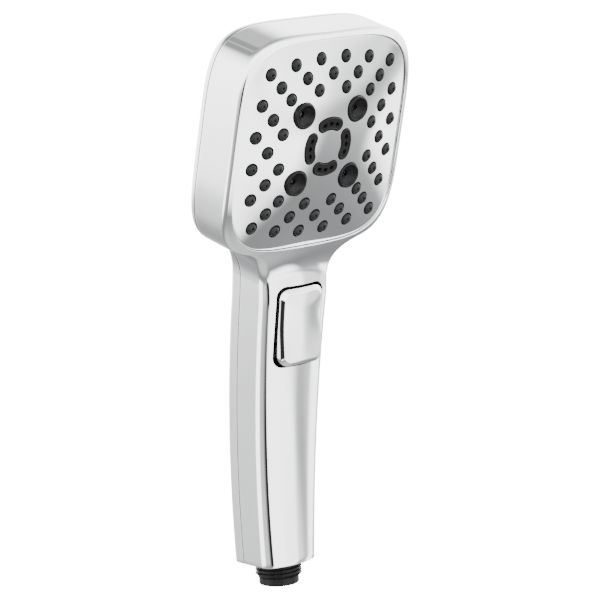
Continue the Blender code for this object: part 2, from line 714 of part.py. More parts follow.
def make_switch(looks):
    at_head = head_matrix()
    low, high = DISC_Y
    profile = [(SPINDLE_R + GAP, low), (DISC_R, low), (DISC_R, high), (SPINDLE_R + GAP, high)]
    disc = add_object("diverter_disc", turned("diverter_disc", profile, 28, "Y"), looks["white"], at_head)
    cuts = [rod_y(2.6, 8, 13, 8, x, z) for x, z in circle(PORT_AT, 2)]
    combine(disc, join_meshes("disc_ports", cuts), "DIFFERENCE", at_head)
    spindle = turned("diverter_spindle", [(SPINDLE_R, 6.8), (SPINDLE_R, 22.6)], 12, "Y", (0, 0, 0), False)
    add_object("diverter_spindle", spindle, looks["steel"], at_head)

    outer = []
    step = 2 * math.pi / RATCHET_TEETH
    for i in range(RATCHET_TEETH):
        tip, root = i * step, (i + 0.12) * step
        outer.append((RATCHET_R * math.cos(tip), RATCHET_R * math.sin(tip)))
        outer.append((RATCHET_ROOT_R * math.cos(root), RATCHET_ROOT_R * math.sin(root)))
    inner = circle(SPINDLE_R + GAP, 2 * RATCHET_TEETH)
    front, back = RATCHET_Y
    rings = []
    for ring, y in ((outer, front), (outer, back), (inner, back), (inner, front)):
        rings.append([(x, y, z) for x, z in ring])
    add_object("ratchet_wheel", loft("ratchet_wheel", rings, True), looks["white"], at_head)

    rod = [(ROD_R, -99.0), (ROD_R, -38.0), (2.6, -38.0), (2.6, -36.5), (ROD_R, -36.5), (ROD_R, -3.0)]
    rod = turned("push_rod", rod, 8, "Z", (ROD_X, ROD_Y, 0), False)
    rod = add_object("push_rod", rod, looks["white"], at_head)
    pawl = box("pawl", (RATCHET_R + GAP + 0.1, ROD_Y - 1.2, -5.0), (ROD_X + 1.0, ROD_Y + 1.2, -3.6))
    combine(rod, pawl, "UNION", at_head)
    front, back = ROD_Y - 5.5, ROD_Y + 1.5
    foot = wedge("foot", 9.8, 12.2, ((front, -90.0), (back, -97.0), (back, -86.0), (front, -86.0)))
    combine(rod, foot, "UNION", at_head)
    spring = coil("return_spring", (ROD_X, ROD_Y, -35.9), 16.5, 2.5, 0.35, 7)
    add_object("return_spring", spring, looks["steel"], at_head)

    lower, upper = PADDLE_SPAN

    def face_at(along):
        return blend(*PADDLE_FACE, (along - lower) / (upper - lower))

    rings = []
    for inset, drop in ((0.0, None), (0.0, 1.8), (0.25, 1.35), (1.9, 0.0)):
        outline = round_rect(PADDLE_HALF - inset, lower + inset, upper - inset, PADDLE_CORNER - inset / 2, 3)
        ring = []
        for x, s in outline:
            depth = PADDLE_BACK if drop is None else face_at(s) + PADDLE_CROWN + drop
            ring.append(on_spine(x, s, depth))
        rings.append(ring)
    outline = round_rect(PADDLE_HALF - 7, lower + 2.5, upper - 2.5, 3.0, 3)
    rings.append([on_spine(x, s, face_at(s) + PADDLE_CROWN / 4) for x, s in outline])
    paddle = add_object("thumb_paddle", loft("thumb_paddle", rings), looks["chrome"])
    lugs = []
    for x in (-LUG_X, LUG_X):
        along = (PIN_ALONG - 2.4, PIN_ALONG + 2.4)
        lugs.append(spine_box("lug", x - 1.6, x + 1.6, *along, -11.0, PIN_DEPTH + 2.2))
    combine(paddle, join_meshes("lugs", lugs), "UNION")
    cam = ((110.2, -11.0), (110.2, -1.6), (118.3, -9.7), (118.3, -11.0))
    combine(paddle, spine_wedge("cam", 9.8, 12.1, cam), "UNION")
    pin_at = on_spine(0, PIN_ALONG, PIN_DEPTH) / MM
    hole = turned("pin_hole", [(PIN_HOLE_R, -16), (PIN_HOLE_R, 16)], 10, "X", pin_at, False)
    combine(paddle, hole.copy(), "DIFFERENCE", Matrix.Scale(MM, 4))

    rings = []
    for half_x, low, high, depth in ((14.0, 101.6, 144.4, -9.2), (14.0, 101.6, 144.4, -4.8),
                                     (12.6, 104.0, 142.2, -4.8), (12.6, 104.0, 142.2, -9.2)):
        rings.append([on_spine(x, s, depth) for x, s in round_rect(half_x, low, high, 2.0, 2)])
    bracket = add_object("paddle_bracket", loft("paddle_bracket", rings, True), looks["black"])
    combine(bracket, hole, "DIFFERENCE", Matrix.Scale(MM, 4))
    pin = turned("paddle_pin", [(PIN_R, -13.8), (PIN_R, 13.8)], 10, "X", pin_at, False)
    add_object("paddle_pin", pin, looks["steel"], Matrix.Scale(MM, 4))


def box(name, low, high):
    rings = []
    for z in (low[2], high[2]):
        rings.append([(low[0], low[1], z), (high[0], low[1], z), (high[0], high[1], z), (low[0], high[1], z)])
    return loft(name, rings)


def wedge(name, low_x, high_x, outline):
    """A prism across x with an outline of (y, z)."""
    return loft(name, [[(x, y, z) for y, z in outline] for x in (low_x, high_x)])


def spine_wedge(name, low_x, high_x, outline):
    """A prism across x with an outline of (along, depth)."""
    return loft(name, [[on_spine(x, s, d) for s, d in outline] for x in (low_x, high_x)])


def spine_box(name, low_x, high_x, low_s, high_s, low_d, high_d):
    outline = ((low_s, low_d), (high_s, low_d), (high_s, high_d), (low_s, high_d))
    return spine_wedge(name, low_x, high_x, outline)


def coil(name, base, height, radius, wire, turns):
    """A compression spring along z from a base point."""
    rings = []
    steps = 7
    for i in range(turns * steps + 1):
        a = 2 * math.pi * i / steps
        z = base[2] + wire + (height - 2 * wire) * i / (turns * steps)
        out = Vector((math.cos(a), math.sin(a), 0))
        middle = Vector((base[0], base[1], z)) + out * radius
        rings.append([tuple(middle + out * p + Vector((0, 0, q))) for p, q in circle(wire, 4)])
    return loft(name, rings)


# Inlet


def make_inlet(looks):
    scale = Matrix.Scale(MM, 4)
    profile = [(INLET_BORE, 0.0), (LIP_R - 0.4, 0.0), (LIP_R, 0.4), (LIP_R, LIP_HEIGHT)]
    for i in range(THREAD_TURNS):
        z = LIP_HEIGHT + 0.1 + i * THREAD_PITCH
        profile += [(THREAD_MAJOR, z + 0.6), (THREAD_MAJOR, z + 0.95), (THREAD_MINOR, z + 1.6)]
    top = LIP_HEIGHT + 1.1 + THREAD_TURNS * THREAD_PITCH
    profile += [(THREAD_MINOR, top), (FLANGE_EDGE_R, top), (FLANGE_EDGE_R, top + 2.6)]
    profile += [(INLET_SLEEVE_R, top + 2.6), (INLET_SLEEVE_R, INLET_TOP), (SOCKET_BORE, INLET_TOP)]
    profile += [(SOCKET_BORE, 27.0), (TUBE_BORE, 27.0), (TUBE_BORE, 25.0), (INLET_BORE, 25.0)]
    add_object("inlet_fitting", turned("inlet_fitting", profile, 18), looks["black"], scale)

    front = []
    rear = []
    inset = WALL + GAP
    along = HANDLE_FOOT + 1.6
    edge = handle_half(along) - inset
    for t in spaced(-1, 1, 13):
        x = edge * math.sin(t * math.pi / 2)
        out = edge - abs(x)
        front.append((x, front_depth(x, along, out, 0) + inset))
        rear.append((x, rear_depth(x, along, out, 0) - inset))
    loop = front + rear[::-1]
    rings = [[on_spine(x, s, d) for x, d in loop] for s in (HANDLE_FOOT + 0.5, HANDLE_FOOT + 2.5)]
    cap = add_object("handle_end_cap", loft("handle_end_cap", rings), looks["black"])
    combine(cap, rod_z(THREAD_MAJOR + GAP, 5, 20, 24), "DIFFERENCE", scale)

    regulator = turned("flow_regulator", [(1.6, 12.3), (VALVE_R, 12.3), (VALVE_R, 14.8), (1.6, 14.8)], 16)
    add_object("flow_regulator", regulator, looks["rubber"], scale)
    profile = [(2.6, 15.1), (VALVE_R, 15.1), (VALVE_R, 24.4), (1.3, 24.4), (1.3, 23.2), (5.2, 23.2)]
    profile += [(5.2, 17.4), (4.4, 16.4), (2.6, 16.4)]
    body = add_object("check_valve_body", turned("check_valve_body", profile, 16), looks["white"], scale)
    cuts = [rod_z(1.2, 22, 26, 6, x, y) for x, y in circle(3.2, 3)]
    combine(body, join_meshes("flow_holes", cuts), "DIFFERENCE", scale)
    profile = [(3.0, 16.8), (4.0, 17.6), (4.0, 18.2), (1.0, 18.2), (1.0, 22.3)]
    poppet = turned("check_valve_poppet", profile, 12, closed=False)
    add_object("check_valve_poppet", poppet, looks["white"], scale)
    spring = coil("check_valve_spring", (0, 0, 18.5), 4.4, 2.0, 0.25, 5)
    add_object("check_valve_spring", spring, looks["steel"], scale)


def main():
    for old in list(bpy.data.objects):
        bpy.data.objects.remove(old, do_unlink=True)
    looks = {
        "chrome": material("chrome", (0.83, 0.84, 0.85), 1.0, 0.06),
        "black": material("black_plastic", (0.03, 0.03, 0.033), 0.0, 0.4),
        "silicone": material("grey_silicone", (0.06, 0.062, 0.065), 0.0, 0.5),
        "rubber": material("black_rubber", (0.02, 0.02, 0.02), 0.0, 0.6),
        "grey": material("grey_plastic", (0.35, 0.36, 0.37), 0.0, 0.45),
        "white": material("white_plastic", (0.8, 0.8, 0.78), 0.0, 0.35),
        "steel": material("stainless_steel", (0.62, 0.62, 0.62), 1.0, 0.3),
    }
    make_covers(looks["chrome"])
    make_spray_face(looks)
    make_water_way(looks)
    make_switch(looks)
    make_inlet(looks)


main()
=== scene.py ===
import math

import bmesh
import bpy
from mathutils import Matrix, Vector
from mathutils.bvhtree import BVHTree
from mathutils.geometry import barycentric_transform


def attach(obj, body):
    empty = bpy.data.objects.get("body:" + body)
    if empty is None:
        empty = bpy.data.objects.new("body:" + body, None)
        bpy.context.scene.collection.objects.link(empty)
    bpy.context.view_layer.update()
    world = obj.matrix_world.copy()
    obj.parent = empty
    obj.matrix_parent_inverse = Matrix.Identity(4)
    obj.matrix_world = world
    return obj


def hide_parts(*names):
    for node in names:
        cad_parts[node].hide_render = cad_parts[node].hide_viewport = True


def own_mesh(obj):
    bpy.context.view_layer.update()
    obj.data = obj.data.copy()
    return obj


# Handheld shower head: the fine outer skins, the spray face, the nozzles and the threaded inlet.
# Lengths are in millimetres until a mesh is finished, then in metres.

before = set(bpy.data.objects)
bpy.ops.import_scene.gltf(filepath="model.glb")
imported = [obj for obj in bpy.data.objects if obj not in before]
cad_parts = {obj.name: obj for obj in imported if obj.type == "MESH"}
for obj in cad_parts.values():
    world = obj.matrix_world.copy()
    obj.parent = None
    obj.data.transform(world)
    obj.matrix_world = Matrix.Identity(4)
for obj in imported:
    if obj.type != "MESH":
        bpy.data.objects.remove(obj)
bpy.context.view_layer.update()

mm = 0.001


def smooth(low, high, value):
    t = min(max((value - low) / (high - low), 0.0), 1.0)
    return t * t * (3 - 2 * t)


def mix(a, b, t):
    return a + (b - a) * t


def evenly(first, last, count):
    return [first + (last - first) * i / (count - 1) for i in range(count)]


# count angles from just past 0 up to a right angle
def quarter(count):
    return [math.pi / 2 * (i + 1) / count for i in range(count)]


spine = {
    "radius": 680.0,
    "tilt": math.radians(15.78),
    "startY": 1.0,
    "headFrom": 132.0,
    "headBy": 157.0,
    "headAlong": 207.4,
    "faceDepth": -13.5,
}


def spineFrame(along):
    radius, tilt = spine["radius"], spine["tilt"]
    beyond = along - radius * tilt
    lineY = spine["startY"] - radius * (1 - math.cos(tilt)) - beyond * math.sin(tilt)
    lineZ = radius * math.sin(tilt) + beyond * math.cos(tilt)
    turn = min(along / radius, tilt)
    arcY = spine["startY"] - radius * (1 - math.cos(turn))
    arcZ = radius * math.sin(turn)
    share = smooth(spine["headFrom"], spine["headBy"], along)
    return mix(arcY, lineY, share), mix(arcZ, lineZ, share), mix(turn, tilt, share)


def onSpine(x, along, depth):
    y, z, turn = spineFrame(along)
    return Vector((x, y + depth * math.cos(turn), z + depth * math.sin(turn))) * mm


def headMatrix():
    middle = onSpine(0, spine["headAlong"], spine["faceDepth"])
    return Matrix.Translation(middle) @ Matrix.Rotation(spine["tilt"], 4, "X") @ Matrix.Scale(mm, 4)


finishes = {
    "chrome": {
        "colour": (0.86, 0.87, 0.885), "other": (0.83, 0.84, 0.86), "metallic": 1.0,
        "smoothest": 0.03, "roughest": 0.075, "marks": 38.0, "grain": 900.0, "relief": 0.0,
    },
    "black_plastic": {
        "colour": (0.004, 0.004, 0.0045), "other": (0.008, 0.008, 0.0085), "metallic": 0.0, "gloss": 0.1,
        "smoothest": 0.3, "roughest": 0.46, "marks": 90.0, "grain": 2600.0, "relief": 0.015,
    },
    "grey_silicone": {
        "colour": (0.009, 0.0095, 0.01), "other": (0.014, 0.0145, 0.015), "metallic": 0.0, "gloss": 0.12,
        "smoothest": 0.36, "roughest": 0.55, "marks": 120.0, "grain": 3200.0, "relief": 0.015,
    },
    "black_rubber": {
        "colour": (0.008, 0.008, 0.008), "other": (0.014, 0.014, 0.0135), "metallic": 0.0, "gloss": 0.15,
        "smoothest": 0.5, "roughest": 0.7, "marks": 80.0, "grain": 2200.0, "relief": 0.03,
    },
    # unplated is a dark bare-plastic finish; on the split gaps, the window's wall and the faceplate's hole
    # walls it is painted shade
    "unplated": {
        "colour": (0.02, 0.02, 0.021), "other": (0.03, 0.03, 0.031), "metallic": 0.0, "gloss": 0.2,
        "smoothest": 0.5, "roughest": 0.7, "marks": 60.0, "grain": 2000.0, "relief": 0.0,
    },
    "grey_plastic": {
        "colour": (0.33, 0.34, 0.35), "other": (0.38, 0.39, 0.4), "metallic": 0.0,
        "smoothest": 0.36, "roughest": 0.52, "marks": 60.0, "grain": 2400.0, "relief": 0.1,
    },
    "white_plastic": {
        "colour": (0.78, 0.78, 0.75), "other": (0.84, 0.84, 0.82), "metallic": 0.0,
        "smoothest": 0.28, "roughest": 0.42, "marks": 60.0, "grain": 2400.0, "relief": 0.08,
    },
    "stainless_steel": {
        "colour": (0.6, 0.6, 0.59), "other": (0.68, 0.68, 0.67), "metallic": 1.0,
        "smoothest": 0.22, "roughest": 0.36, "marks": 150.0, "grain": 4200.0, "relief": 0.06,
    },
}


def newGroup(name, ins, outs):
    group = bpy.data.node_groups.new(name, "ShaderNodeTree")
    for label, kind, value in ins:
        socket = group.interface.new_socket(label, in_out="INPUT", socket_type=kind)
        if value is not None:
            socket.default_value = value
    for label, kind in outs:
        group.interface.new_socket(label, in_out="OUTPUT", socket_type=kind)
    return group, group.nodes.new("NodeGroupInput"), group.nodes.new("NodeGroupOutput")


def addNode(tree, kind, values=()):
    node = tree.nodes.new("ShaderNode" + kind)
    for label, value in dict(values).items():
        node.inputs[label].default_value = value
    return node


def mathStep(tree, operation, a, b=0.0, c=0.0):
    node = addNode(tree, "Math")
    node.operation = operation
    for k, value in enumerate((a, b, c)):
        if isinstance(value, float):
            node.inputs[k].default_value = value
        else:
            tree.links.new(value, node.inputs[k])
    return node.outputs[0]


# fine moulded or drawn grain: a colour mask and a height
def makeGrainGroup():
    ins = [("Vector", "NodeSocketVector", None), ("Scale", "NodeSocketFloat", 2000.0)]
    outs = [("Mask", "NodeSocketFloat"), ("Height", "NodeSocketFloat")]
    group, start, end = newGroup("surfaceGrain", ins, outs)
    links = group.links
    noise = addNode(group, "TexNoise", {"Detail": 4.0, "Roughness": 0.6})
    links.new(start.outputs["Vector"], noise.inputs["Vector"])
    links.new(start.outputs["Scale"], noise.inputs["Scale"])
    ramp = addNode(group, "MapRange", {"From Min": 0.3, "From Max": 0.7})
    links.new(noise.outputs["Fac"], ramp.inputs["Value"])
    links.new(ramp.outputs["Result"], end.inputs["Mask"])
    links.new(noise.outputs["Fac"], end.inputs["Height"])
    return group


# soft smudges left by wet hands: large patches broken up by a finer stretch of noise
def makeMarksGroup():
    ins = [("Vector", "NodeSocketVector", None), ("Scale", "NodeSocketFloat", 40.0),
           ("Smoothest", "NodeSocketFloat", 0.04), ("Roughest", "NodeSocketFloat", 0.1)]
    outs = [("Mask", "NodeSocketFloat"), ("Roughness", "NodeSocketFloat")]
    group, start, end = newGroup("handlingMarks", ins, outs)
    links = group.links
    broad = addNode(group, "TexNoise", {"Detail": 3.0, "Distortion": 0.6})
    links.new(start.outputs["Vector"], broad.inputs["Vector"])
    links.new(start.outputs["Scale"], broad.inputs["Scale"])
    finer = mathStep(group, "MULTIPLY", start.outputs["Scale"], 7.0)
    fine = addNode(group, "TexNoise", {"Detail": 5.0})
    links.new(start.outputs["Vector"], fine.inputs["Vector"])
    links.new(finer, fine.inputs["Scale"])
    both = mathStep(group, "MULTIPLY", broad.outputs["Fac"], fine.outputs["Fac"])
    mask = addNode(group, "MapRange", {"From Min": 0.15, "From Max": 0.4})
    mask.interpolation_type = "SMOOTHSTEP"
    links.new(both, mask.inputs["Value"])
    spread = addNode(group, "MapRange")
    links.new(mask.outputs["Result"], spread.inputs["Value"])
    links.new(start.outputs["Smoothest"], spread.inputs["To Min"])
    links.new(start.outputs["Roughest"], spread.inputs["To Max"])
    links.new(mask.outputs["Result"], end.inputs["Mask"])
    links.new(spread.outputs["Result"], end.inputs["Roughness"])
    return group


def makeFinish(name, look, grainGroup, marksGroup):
    made = bpy.data.materials.new(name + "Finish")
    made.use_nodes = True
    nodes, links = made.node_tree.nodes, made.node_tree.links
    shader = nodes["Principled BSDF"]
    shader.inputs["Metallic"].default_value = look["metallic"]
    shader.inputs["Specular IOR Level"].default_value = look.get("gloss", 0.5)
    place = addNode(made.node_tree, "TexCoord")
    grain = nodes.new("ShaderNodeGroup")
    grain.node_tree = grainGroup
    grain.inputs["Scale"].default_value = look["grain"]
    marks = nodes.new("ShaderNodeGroup")
    marks.node_tree = marksGroup
    for label, key in (("Scale", "marks"), ("Smoothest", "smoothest"), ("Roughest", "roughest")):
        marks.inputs[label].default_value = look[key]
    for group in (grain, marks):
        links.new(place.outputs["Object"], group.inputs["Vector"])
    colour = nodes.new("ShaderNodeMix")
    colour.data_type = "RGBA"
    colour.inputs["A"].default_value = (*look["colour"], 1)
    colour.inputs["B"].default_value = (*look["other"], 1)
    source = marks if look["metallic"] else grain
    links.new(source.outputs["Mask"], colour.inputs["Factor"])
    links.new(colour.outputs["Result"], shader.inputs["Base Color"])
    links.new(marks.outputs["Roughness"], shader.inputs["Roughness"])
    if look["relief"]:
        bump = addNode(made.node_tree, "Bump", {"Strength": look["relief"], "Distance": 0.00005})
        links.new(grain.outputs["Height"], bump.inputs["Height"])
        links.new(bump.outputs["Normal"], shader.inputs["Normal"])
    return made


grainGroup = makeGrainGroup()
marksGroup = makeMarksGroup()
finishOf = {name: makeFinish(name, look, grainGroup, marksGroup) for name, look in finishes.items()}
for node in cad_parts.values():
    for slot in node.material_slots:
        slot.material = finishOf[slot.material.name.split(".")[0]]
print("finishes made:", len(finishOf))


sharpAngle = math.radians(32)  # a steeper fold between faces is shaded as an edge


def finishMesh(bm, name, within=1e-7):
    bmesh.ops.remove_doubles(bm, verts=bm.verts, dist=within)
    bmesh.ops.recalc_face_normals(bm, faces=bm.faces)
    mesh = bpy.data.meshes.new(name)
    bm.to_mesh(mesh)
    bm.free()
    mesh.shade_smooth()
    mesh.set_sharp_from_angle(angle=sharpAngle)
    return mesh


# rings of points joined in turn: capped at both ends, or closed on itself
def loft(name, rings, closed=False):
    bm = bmesh.new()
    grid = [[bm.verts.new(p) for p in ring] for ring in rings]
    pairs = list(zip(grid, grid[1:])) + ([(grid[-1], grid[0])] if closed else [])
    for one, two in pairs:
        for i in range(len(one)):
            j = (i + 1) % len(one)
            bm.faces.new((one[i], one[j], two[j], two[i]))
    if not closed:
        bm.faces.new(grid[0][::-1])
        bm.faces.new(grid[-1])
    return finishMesh(bm, name)


# (radius, height) points turned round an axis
def lathe(name, profile, count, axis="Y", at=(0, 0, 0), closed=True):
    rings = []
    for r, h in profile:
        ring = []
        for i in range(count):
            a = 2 * math.pi * i / count
            p, q = r * math.cos(a), r * math.sin(a)
            offset = (p, h, q) if axis == "Y" else (p, q, h)
            ring.append(tuple(start + step for start, step in zip(at, offset)))
        rings.append(ring)
    return loft(name, rings, closed)


def joinMeshes(name, meshes):
    bm = bmesh.new()
    for mesh in meshes:
        bm.from_mesh(mesh)
    joined = bpy.data.meshes.new(name)
    bm.to_mesh(joined)
    bm.free()
    return joined


# the first mesh cut by the second, or joined with it
def combine(mesh, other, operation):
    target = bpy.data.objects.new("target", mesh)
    helper = bpy.data.objects.new("helper", other)
    for made in (target, helper):
        bpy.context.scene.collection.objects.link(made)
    step = target.modifiers.new("step", "BOOLEAN")
    step.operation = operation
    step.solver = "EXACT"
    step.object = helper
    graph = bpy.context.evaluated_depsgraph_get()
    result = bpy.data.meshes.new_from_object(target.evaluated_get(graph))
    for made in (target, helper):
        bpy.data.objects.remove(made)
    result.shade_smooth()
    result.set_sharp_from_angle(angle=sharpAngle)
    return result


# metres, then cosines of the angles allowed between the cut and the whole surface
keptNormals = {"within": 2e-5, "faceAgrees": 0.97, "cornerAgrees": 0.94}


# gives what is left of a trimmed surface the shading of the whole one
def keepNormals(cut, whole):
    whole.calc_loop_triangles()
    points = [v.co.copy() for v in whole.vertices]
    normals = [Vector(n.vector) for n in whole.vertex_normals]
    faces = [tuple(t.vertices) for t in whole.loop_triangles]
    tree = BVHTree.FromPolygons(points, faces)
    corners = [Vector(n.vector) for n in cut.corner_normals]
    for polygon in cut.polygons:
        _, faceNormal, _, far = tree.find_nearest(polygon.center)
        if far > keptNormals["within"] or faceNormal.dot(polygon.normal) < keptNormals["faceAgrees"]:
            continue
        for corner in polygon.loop_indices:
            at = cut.vertices[cut.loops[corner].vertex_index].co
            near, _, index, _ = tree.find_nearest(at)
            a, b, c = faces[index]
            mixed = barycentric_transform(near, points[a], points[b], points[c],
                                          normals[a], normals[b], normals[c]).normalized()
            if mixed.dot(polygon.normal) > keptNormals["cornerAgrees"]:
                corners[corner] = mixed
    cut.normals_split_custom_set(corners)


def addPiece(name, mesh, slot, body, *nodes, more=()):
    piece = bpy.data.objects.new(name, mesh)
    bpy.context.scene.collection.objects.link(piece)
    sides = [polygon.material_index for polygon in mesh.polygons]
    mesh.materials.clear()
    for finish in (slot, *more):
        mesh.materials.append(finishOf[finish])
    if more:
        mesh.polygons.foreach_set("material_index", sides)
    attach(piece, body)
    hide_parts(*nodes)
    print("made", name, len(mesh.polygons), "faces")
    return piece


# gathers points where the corners turn fastest
def crowd(angle):
    return angle + 0.12 * math.sin(4 * angle)


def squarePoint(half, power, angle):
    c, s = math.cos(angle), math.sin(angle)
    r = half * (abs(c) ** power + abs(s) ** power) ** (-1 / power)
    return r * c, r * s


def squareRing(half, power, count):
    return [squarePoint(half, power, crowd(2 * math.pi * i / count)) for i in range(count)]


# a rectangle with round corners; straight is how many stretches each side is split into
def rectRing(halfX, low, high, corner, steps, straight=1):
    out = []
    corners = ((1, high), (-1, high), (-1, low), (1, low))
    for k, (side, level) in enumerate(corners):
        cx = side * (halfX - corner)
        cz = level - corner if level == high else level + corner
        for i in range(steps + 1):
            a = math.pi / 2 * (k + i / steps)
            out.append((cx + corner * math.cos(a), cz + corner * math.sin(a)))
        a = math.pi / 2 * (k + 1)
        nextSide, nextLevel = corners[(k + 1) % 4]
        nx = nextSide * (halfX - corner) + corner * math.cos(a)
        nz = (nextLevel - corner if nextLevel == high else nextLevel + corner) + corner * math.sin(a)
        here = out[-1]
        for i in range(1, straight):
            out.append((mix(here[0], nx, i / straight), mix(here[1], nz, i / straight)))
    return out


bodyShape = {
    "headHalf": 49.5, "headPower": 4.7, "handleWidth": (14.45, 0.0505, -0.00012), "handleEnd": 160,
    "plateHalf": 46.4, "openingHalf": 46.9, "platePower": 4.0,
    "rimHeight": 15.1, "rimSlope": 0.5,
    "foot": 10.4, "footRound": 0.5, "neckRadius": 18.0, "neckBetween": (110.0, 155.0),
    "frontHeight": 14.5, "neckDip": 2.8, "dipAlong": (136.0, 162.0), "crown": 2.4, "valleySoft": 7.0,
    "rearDepth": 13.0, "rearCrown": 0.8, "rearWidens": (140, 170), "rearGather": 30.0,
    "frontCorners": (3.5, 1.6), "rearCorners": (3.0, 5.5),
    "splits": (5.0, 6.5), "splitRises": (140, 165), "gap": 0.36, "lip": 0.1, "wall": 2.0, "openingLip": 0.3,
    "handleRibs": 64, "neckRibs": 44, "headRibs": 110,
    "wallRows": (0.05, 0.16, 0.34, 0.52, 0.7, 0.86, 0.96, 1.0),
    "roundRows": 8, "frontRows": 24, "lipRows": 4,
}

windowShape = {"halfX": 13.5, "low": 104.0, "high": 141.9, "corner": 5.2, "front": -21.0, "back": -7.5}


# half the handle's width, widest towards the neck
def handleHalf(along):
    foot, slope, bend = bodyShape["handleWidth"]
    return foot + slope * along + bend * along**2


# centre of the circle between the handle's side and the head, and where it meets the head
def neckFillet():
    b = bodyShape
    angles = evenly(math.radians(-89), math.radians(-20), 400)
    points = [squarePoint(b["headHalf"], b["headPower"], crowd(a)) for a in angles]

    def nearest(along):
        cx = handleHalf(along) + b["neckRadius"]
        far = [math.hypot(px - cx, pz + spine["headAlong"] - along) for px, pz in points]
        return min(far), angles[far.index(min(far))]

    low, high = b["neckBetween"]
    for _ in range(30):
        middle = (low + high) / 2
        if nearest(middle)[0] > b["neckRadius"]:
            low = middle
        else:
            high = middle
    return handleHalf(low) + b["neckRadius"], low, nearest(low)[1]


# right half of the outline, foot to top: point, inward way, stage (0 handle, 1 head, 2 top), shrink
def bodyRibs():
    b = bodyShape
    cx, cs, headAngle = neckFillet()
    ribs = []
    for a in [0.0] + quarter(4):
        along = b["foot"] + b["footRound"] * (1 - math.cos(a))
        ribs.append(((handleHalf(along), along), (-1.0, 0.0), 0.0, b["footRound"] * (1 - math.sin(a))))
    for along in evenly(b["foot"] + b["footRound"], cs, b["handleRibs"])[1:-1]:
        ribs.append(((handleHalf(along), along), (-1.0, 0.0), 0.0, 0.0))
    tx, tz = squarePoint(b["headHalf"], b["headPower"], crowd(headAngle))
    last = math.atan2(tz + spine["headAlong"] - cs, tx - cx)
    for i, angle in enumerate(evenly(math.pi, last, b["neckRibs"])[:-1]):
        way = (math.cos(angle), math.sin(angle))
        point = (cx + b["neckRadius"] * way[0], cs + b["neckRadius"] * way[1])
        ribs.append((point, way, i / (b["neckRibs"] - 1), 0.0))
    for i, angle in enumerate(evenly(headAngle, math.pi / 2, b["headRibs"])):
        x, z = squarePoint(b["headHalf"], b["headPower"], crowd(angle))
        gx = math.copysign(abs(x) ** (b["headPower"] - 1), x)
        gz = math.copysign(abs(z) ** (b["headPower"] - 1), z)
        size = math.hypot(gx, gz)
        way = (-gx / size, -gz / size)
        if i == b["headRibs"] - 1:
            x, way = 0.0, (0.0, -1.0)
        ribs.append(((x, z + spine["headAlong"]), way, 1 + i / (b["headRibs"] - 1), 0.0))
    return ribs, headAngle


# where the front's ribs end: on the middle line up the handle, then round the face's opening
def openingEnds(ribs, headAngle):
    b = bodyShape
    neck = [i for i, rib in enumerate(ribs) if 0 < rib[2] < 1]
    turn = neck[len(neck) // 2]
    start = ribs[neck[0] - 1][0][1]
    foot = spine["headAlong"] - b["openingHalf"]
    firstHead = neck[-1] + 1
    ends = []
    for i, (point, _, stage, _) in enumerate(ribs):
        if i < neck[0]:
            ends.append((0.0, point[1]))
        elif i <= turn:
            ends.append((0.0, mix(start, foot, (i - neck[0] + 1) / (turn - neck[0] + 1))))
        else:
            if i < firstHead:
                angle = mix(-math.pi / 2, headAngle, (i - turn) / (firstHead - turn))
            else:
                angle = mix(headAngle, math.pi / 2, stage - 1)
            x, z = squarePoint(b["openingHalf"], b["platePower"], crowd(angle))
            ends.append((0.0 if i == len(ribs) - 1 else x, z + spine["headAlong"]))
    return ends, turn


# where the rear's ribs end: on the middle line all the way, bunched up inside the head
def rearEnds(ribs):
    neck = [i for i, rib in enumerate(ribs) if 0 < rib[2] < 1]
    start = ribs[neck[0] - 1][0][1]
    top = spine["headAlong"] + bodyShape["rearGather"]
    ends = []
    for i, (point, _, _, _) in enumerate(ribs):
        if i < neck[0]:
            ends.append((0.0, point[1]))
        else:
            ends.append((0.0, mix(start, top, (i - neck[0] + 1) / (len(ribs) - neck[0]))))
    return ends, len(ribs)


def roundDrop(inset, radius):
    if inset >= radius:
        return 0.0
    return radius - math.sqrt(radius**2 - (radius - inset) ** 2)


# the higher of the head's rim and the handle's front, run together
def frontHeight(x, along):
    b = bodyShape
    z = along - spine["headAlong"]
    reach = ((abs(x) / b["plateHalf"]) ** 4 + (abs(z) / b["plateHalf"]) ** 4) ** 0.25
    rim = b["rimHeight"] - b["rimSlope"] * (reach - 1) * b["plateHalf"]
    dip = b["neckDip"] * smooth(*b["dipAlong"], along)
    across = x / (handleHalf(min(along, b["handleEnd"])) - b["frontCorners"][0])
    handle = b["frontHeight"] - dip - b["crown"] * across**2
    soft = b["valleySoft"]
    apart = max(soft - abs(rim - handle), 0.0) / soft
    return max(rim, handle) + apart**2 * soft / 4


def frontDepth(x, along, inset, stage):
    corner = mix(*bodyShape["frontCorners"], smooth(0, 1, stage))
    return -frontHeight(x, along) + roundDrop(inset, corner)


def rearDepth(x, along, inset, stage):
    b = bodyShape
    corner = mix(*b["rearCorners"], smooth(0, 1, stage))
    handle = handleHalf(min(along, b["handleEnd"]))
    across = x / mix(handle, b["headHalf"], smooth(*b["rearWidens"], along))
    return b["rearDepth"] - b["rearCrown"] * across**2 - roundDrop(inset, corner)


